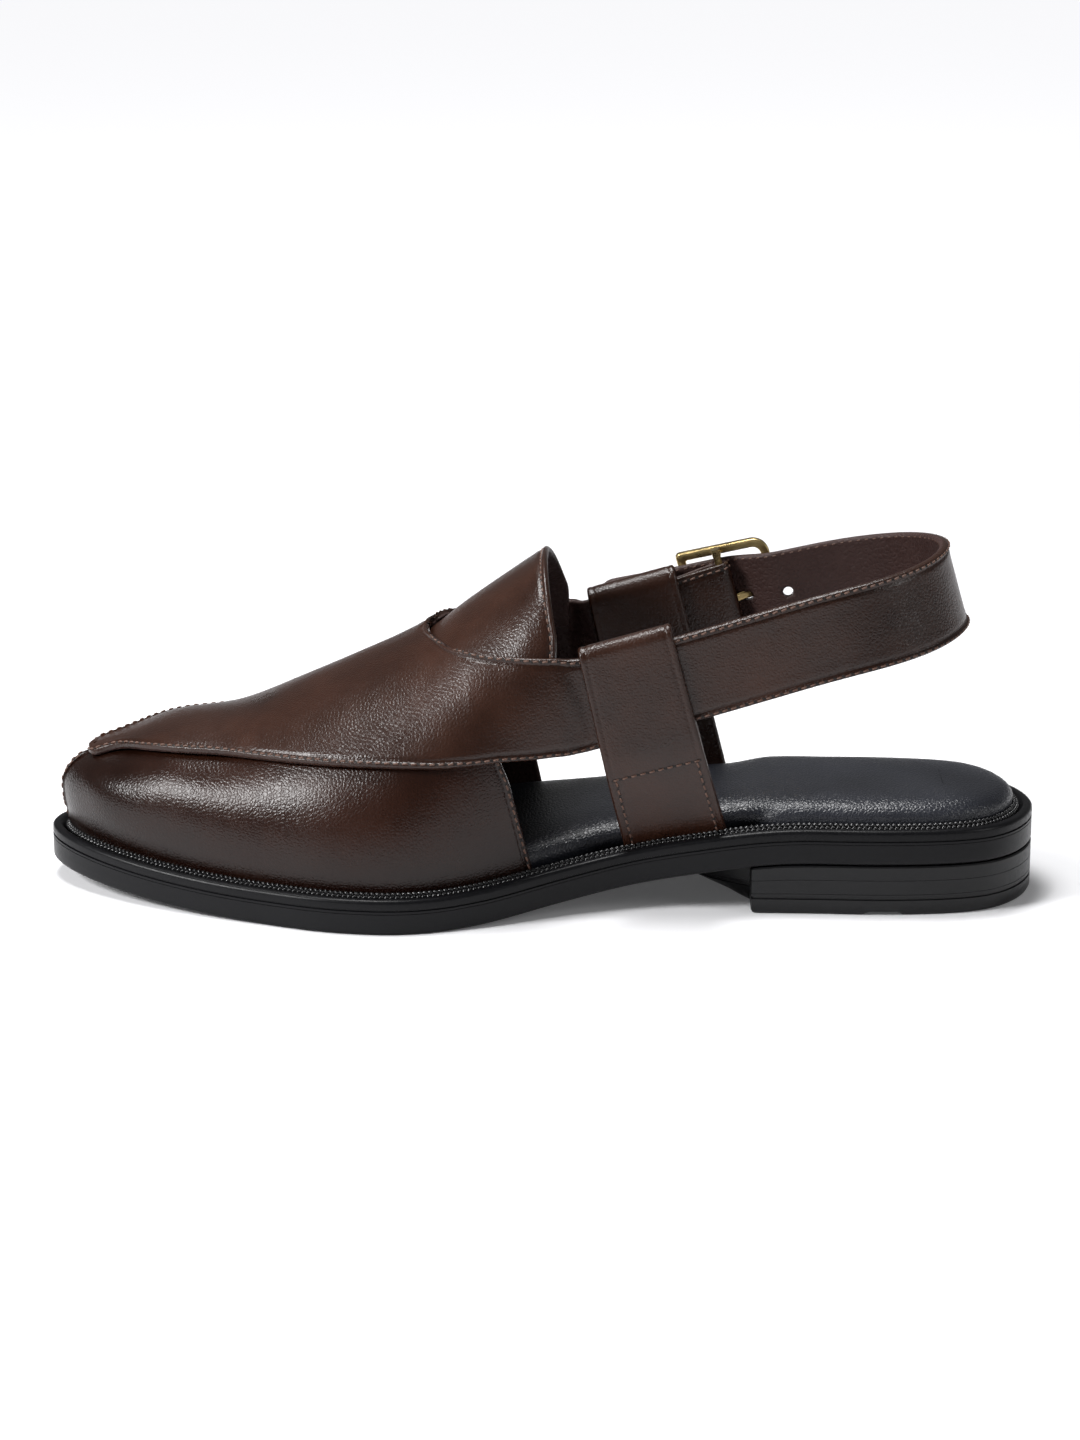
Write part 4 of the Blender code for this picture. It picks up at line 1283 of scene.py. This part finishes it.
def make_buckle_strap():
    wall = buckle_strap_wall
    inner = band_outside - wall / 2
    radius = bar_radius + gap + wall / 2
    outer = 2 * bar_out - inner
    start = wing_end + gap
    path = [(start + (buckle_bar_place - start) * i / 16, inner) for i in range(16)]
    path += arc_points(buckle_bar_place, bar_out, radius, -90, 90, 16)
    return_out = band_outside + gap + wall / 2
    for i in range(1, 17):
        along = buckle_bar_place + (start - buckle_bar_place) * i / 16
        path.append((along, outer + (return_out - outer) * ease(i / 16, 0.0, 0.5)))
    grid = []
    for along, out in path:
        climb = ease(along, start, buckle_bar_place)
        centre = strap_height + lateral_climb
        centre += (strap_centre(buckle_bar_place, 1) - centre) * climb
        grid.append([from_strap(along, out, centre + buckle_strap_width / 2 * s / 3) for s in range(-3, 4)])
    points, _rows = refine(grid, buckle_strap_grid_step, "lr")
    inside = from_strap(buckle_bar_place - 0.01, bar_out, strap_height)
    surfaces = leather(
        "buckle_strap_laid", "buckle_strap", [points], wall, 0.0, inside,
        (strap_look, lining_look), [[points[:, 0], points[:, -1]]], cut_edge,
    )
    for edge_name in "lr":
        sew(surfaces[0], edge_name)


make_buckle_strap()


# Buckle frame, centre bar and prong

def buckle_outline(low, high, half_height, front_radius, rear_radius):
    corners = (
        (high - rear_radius, half_height - rear_radius, rear_radius, 0.0),
        (low + front_radius, half_height - front_radius, front_radius, 90.0),
        (low + front_radius, front_radius - half_height, front_radius, 180.0),
        (high - rear_radius, rear_radius - half_height, rear_radius, 270.0),
    )
    points = []
    for along, up, radius, turn in corners:
        points += arc_points(along, up, radius, turn, turn + 90.0, 8)
    return points


def capped(start, sides, turned=False):
    """A tube between two rings of vertices, with both ends closed."""
    low = tuple(range(start, start + sides))
    high = tuple(range(start + sides, start + 2 * sides))
    return tube(start, sides) + [low if turned else low[::-1], high[::-1] if turned else high]


def soft_square(sides, power):
    """Points round a square with soft corners, from -1 to 1."""
    return [[math.copysign(abs(value) ** power, value) for value in point] for point in circle(sides, 0.5)]


def at_buckle(along, out, up):
    return np.array(from_strap(along, out, up)) + frame_shift


def make_buckle_frame(sides=16):
    half = strap_width / 2 + buckle_clearance
    front = buckle_bar_place - buckle_front
    outside = buckle_outline(front, buckle_rear, half + rail_width, front_corner, buckle_corner)
    inside = buckle_outline(
        front + rail_width, buckle_rear - rail_width, half, front_corner / 2, buckle_corner / 2)
    vertices = []
    faces = []
    for i, ((a, b), (c, d)) in enumerate(zip(outside, inside)):
        near, far = i * sides, (i + 1) % len(outside) * sides
        for k, (across, depth) in enumerate(soft_square(sides, 0.45)):
            along = (a + c) / 2 + (a - c) / 2 * across
            up = (b + d) / 2 + (b - d) / 2 * across
            out = buckle_plane(along) + depth * rail_depth / 2
            vertices.append(at_buckle(along, out, buckle_centre(along) + up))
            after = (k + 1) % sides
            faces.append((near + k, far + k, far + after, near + after))
    centre = strap_centre(buckle_bar_place, 1)
    reach = half + rail_width * 0.6
    faces += capped(len(vertices), sides, True)
    for end in (-1, 1):
        for x, y in circle(sides):
            along = buckle_bar_place + bar_radius * x
            vertices.append(at_buckle(along, bar_out + bar_radius * y, centre + end * reach))
    top_out = buckle_plane(buckle_bar_place)
    middle_out = (bar_out - bar_radius + top_out) / 2
    for end in (-1, 1):
        faces += capped(len(vertices), sides)
        for share in (0.10, 0.92):
            up = centre + end * (half + rail_width * share)
            for across, depth in soft_square(sides, 0.5):
                out = middle_out + depth * (top_out - bar_out + bar_radius) / 2
                vertices.append(at_buckle(buckle_bar_place + rail_width / 2 * across, out, up))
    item = mesh_object("buckle_frame_cast", vertices, faces, brass_look)
    settle_normals(item, 40)
    show(item, "buckle_frame")


make_buckle_frame()


def make_prong():
    radius = bar_radius + gap + prong_wall / 2
    start, end = prong_line()
    path = arc_points(buckle_bar_place, bar_out, radius, 200, 25, 14)[:-1]
    path += [tuple(a + (b - a) * i / 8 for a, b in zip(start, end)) for i in range(9)]
    path.append((buckle_rear + rail_width * 0.2, end[1]))
    grid = []
    for along, out in path:
        middle = buckle_centre(along)
        grid.append([from_strap(along, out, middle + prong_width / 2 * s / 2) for s in range(-2, 3)])
    points, _rows = refine(grid, prong_grid_step, "selr")
    inside = from_strap(buckle_bar_place, bar_out, buckle_centre(buckle_bar_place))
    leather(
        "buckle_prong_cast", "buckle_prong", [points], prong_wall, 0.0, inside,
        (brass_look, brass_look), [[points[:, 0], points[:, -1], points[0], points[-1]]],
        lambda distance: distance * 0.0,
    )


make_prong()

make_stitches("upper_stitching", "upper", thread_look, thread_radius, stitch_slant, -thread_sink)
make_needle_hole_shade("upper_needle_hole_shade", "upper", needle_hole_shade_look, stitch_slant)
make_stitches("welt_stitching_outer", "welt_outer", welt_look, welt_radius_outer, welt_slant, 0.0)
make_stitches("welt_stitching_inner", "welt_inner", welt_look, welt_radius_inner, -welt_slant, 0.0)


# Floor, light and camera

def area_light(name, place, target, size, energy):
    data = bpy.data.lights.new(name, "AREA")
    data.shape = "RECTANGLE"
    data.size, data.size_y = size
    data.energy = energy
    item = new_object(name, data)
    item.location = place
    item.rotation_euler = (Vector(target) - Vector(place)).to_track_quat("-Z", "Y").to_euler()


def make_floor(reach):
    """A pale floor that glows towards the horizon and fades in front of the camera."""
    look, tree, shader = new_look("studio_floor")
    place = place_in(tree)
    distance = add(tree, "VectorMath", {0: place}, "Value", operation="LENGTH")
    glow = spread(tree, distance, 0.25, 1.7, 0.06, 0.84, "SMOOTHSTEP")
    y = add(tree, "SeparateXYZ", {"Vector": place}, "Y")
    fade = spread(tree, y, -1.7, -0.55, 0.30, 1.0, "SMOOTHSTEP")
    fill(tree, shader, {
        "Base Color": scaled(tree, (0.80, 0.80, 0.815), fade),
        "Emission Color": scaled(tree, (0.98, 0.98, 1.0), product(tree, glow, fade)),
        "Emission Strength": 1.0,
        "Roughness": 0.6,
        "Specular IOR Level": 0.15,
    })
    corners = [(x * reach, y * reach, 0.0) for x, y in ((-1, -1), (1, -1), (1, 1), (-1, 1))]
    mesh_object("floor", corners, [(0, 1, 2, 3)], look)


make_floor(14.0)

world = bpy.data.worlds.new("studio")
world.use_nodes = True
fill(world.node_tree, world.node_tree.nodes["Background"], {"Color": (1.0, 1.0, 1.0, 1.0), "Strength": 0.14})
bpy.context.scene.world = world

area_light("soft_top", (-0.15, 0.15, 1.10), (0.0, 0.0, 0.03), (0.6, 0.3), 15.0)
area_light("soft_left", (-1.00, -0.50, 0.72), (-0.05, 0.0, 0.04), (0.36, 0.40), 19.0)
area_light("soft_right", (1.05, -0.45, 0.60), (0.05, 0.0, 0.05), (0.3, 0.5), 2.5)

camera_data = bpy.data.cameras.new("photo_camera")
camera_data.lens = 90.46
camera_data.sensor_width = 36.0
camera_data.clip_start = 0.01
camera = new_object("photo_camera", camera_data)
camera.location = (0.02823, -1.06944, 0.34188)
camera.rotation_euler = (math.radians(74.8), 0.0, math.radians(1.5))
bpy.context.scene.camera = camera
bpy.context.scene.view_settings.view_transform = "Standard"
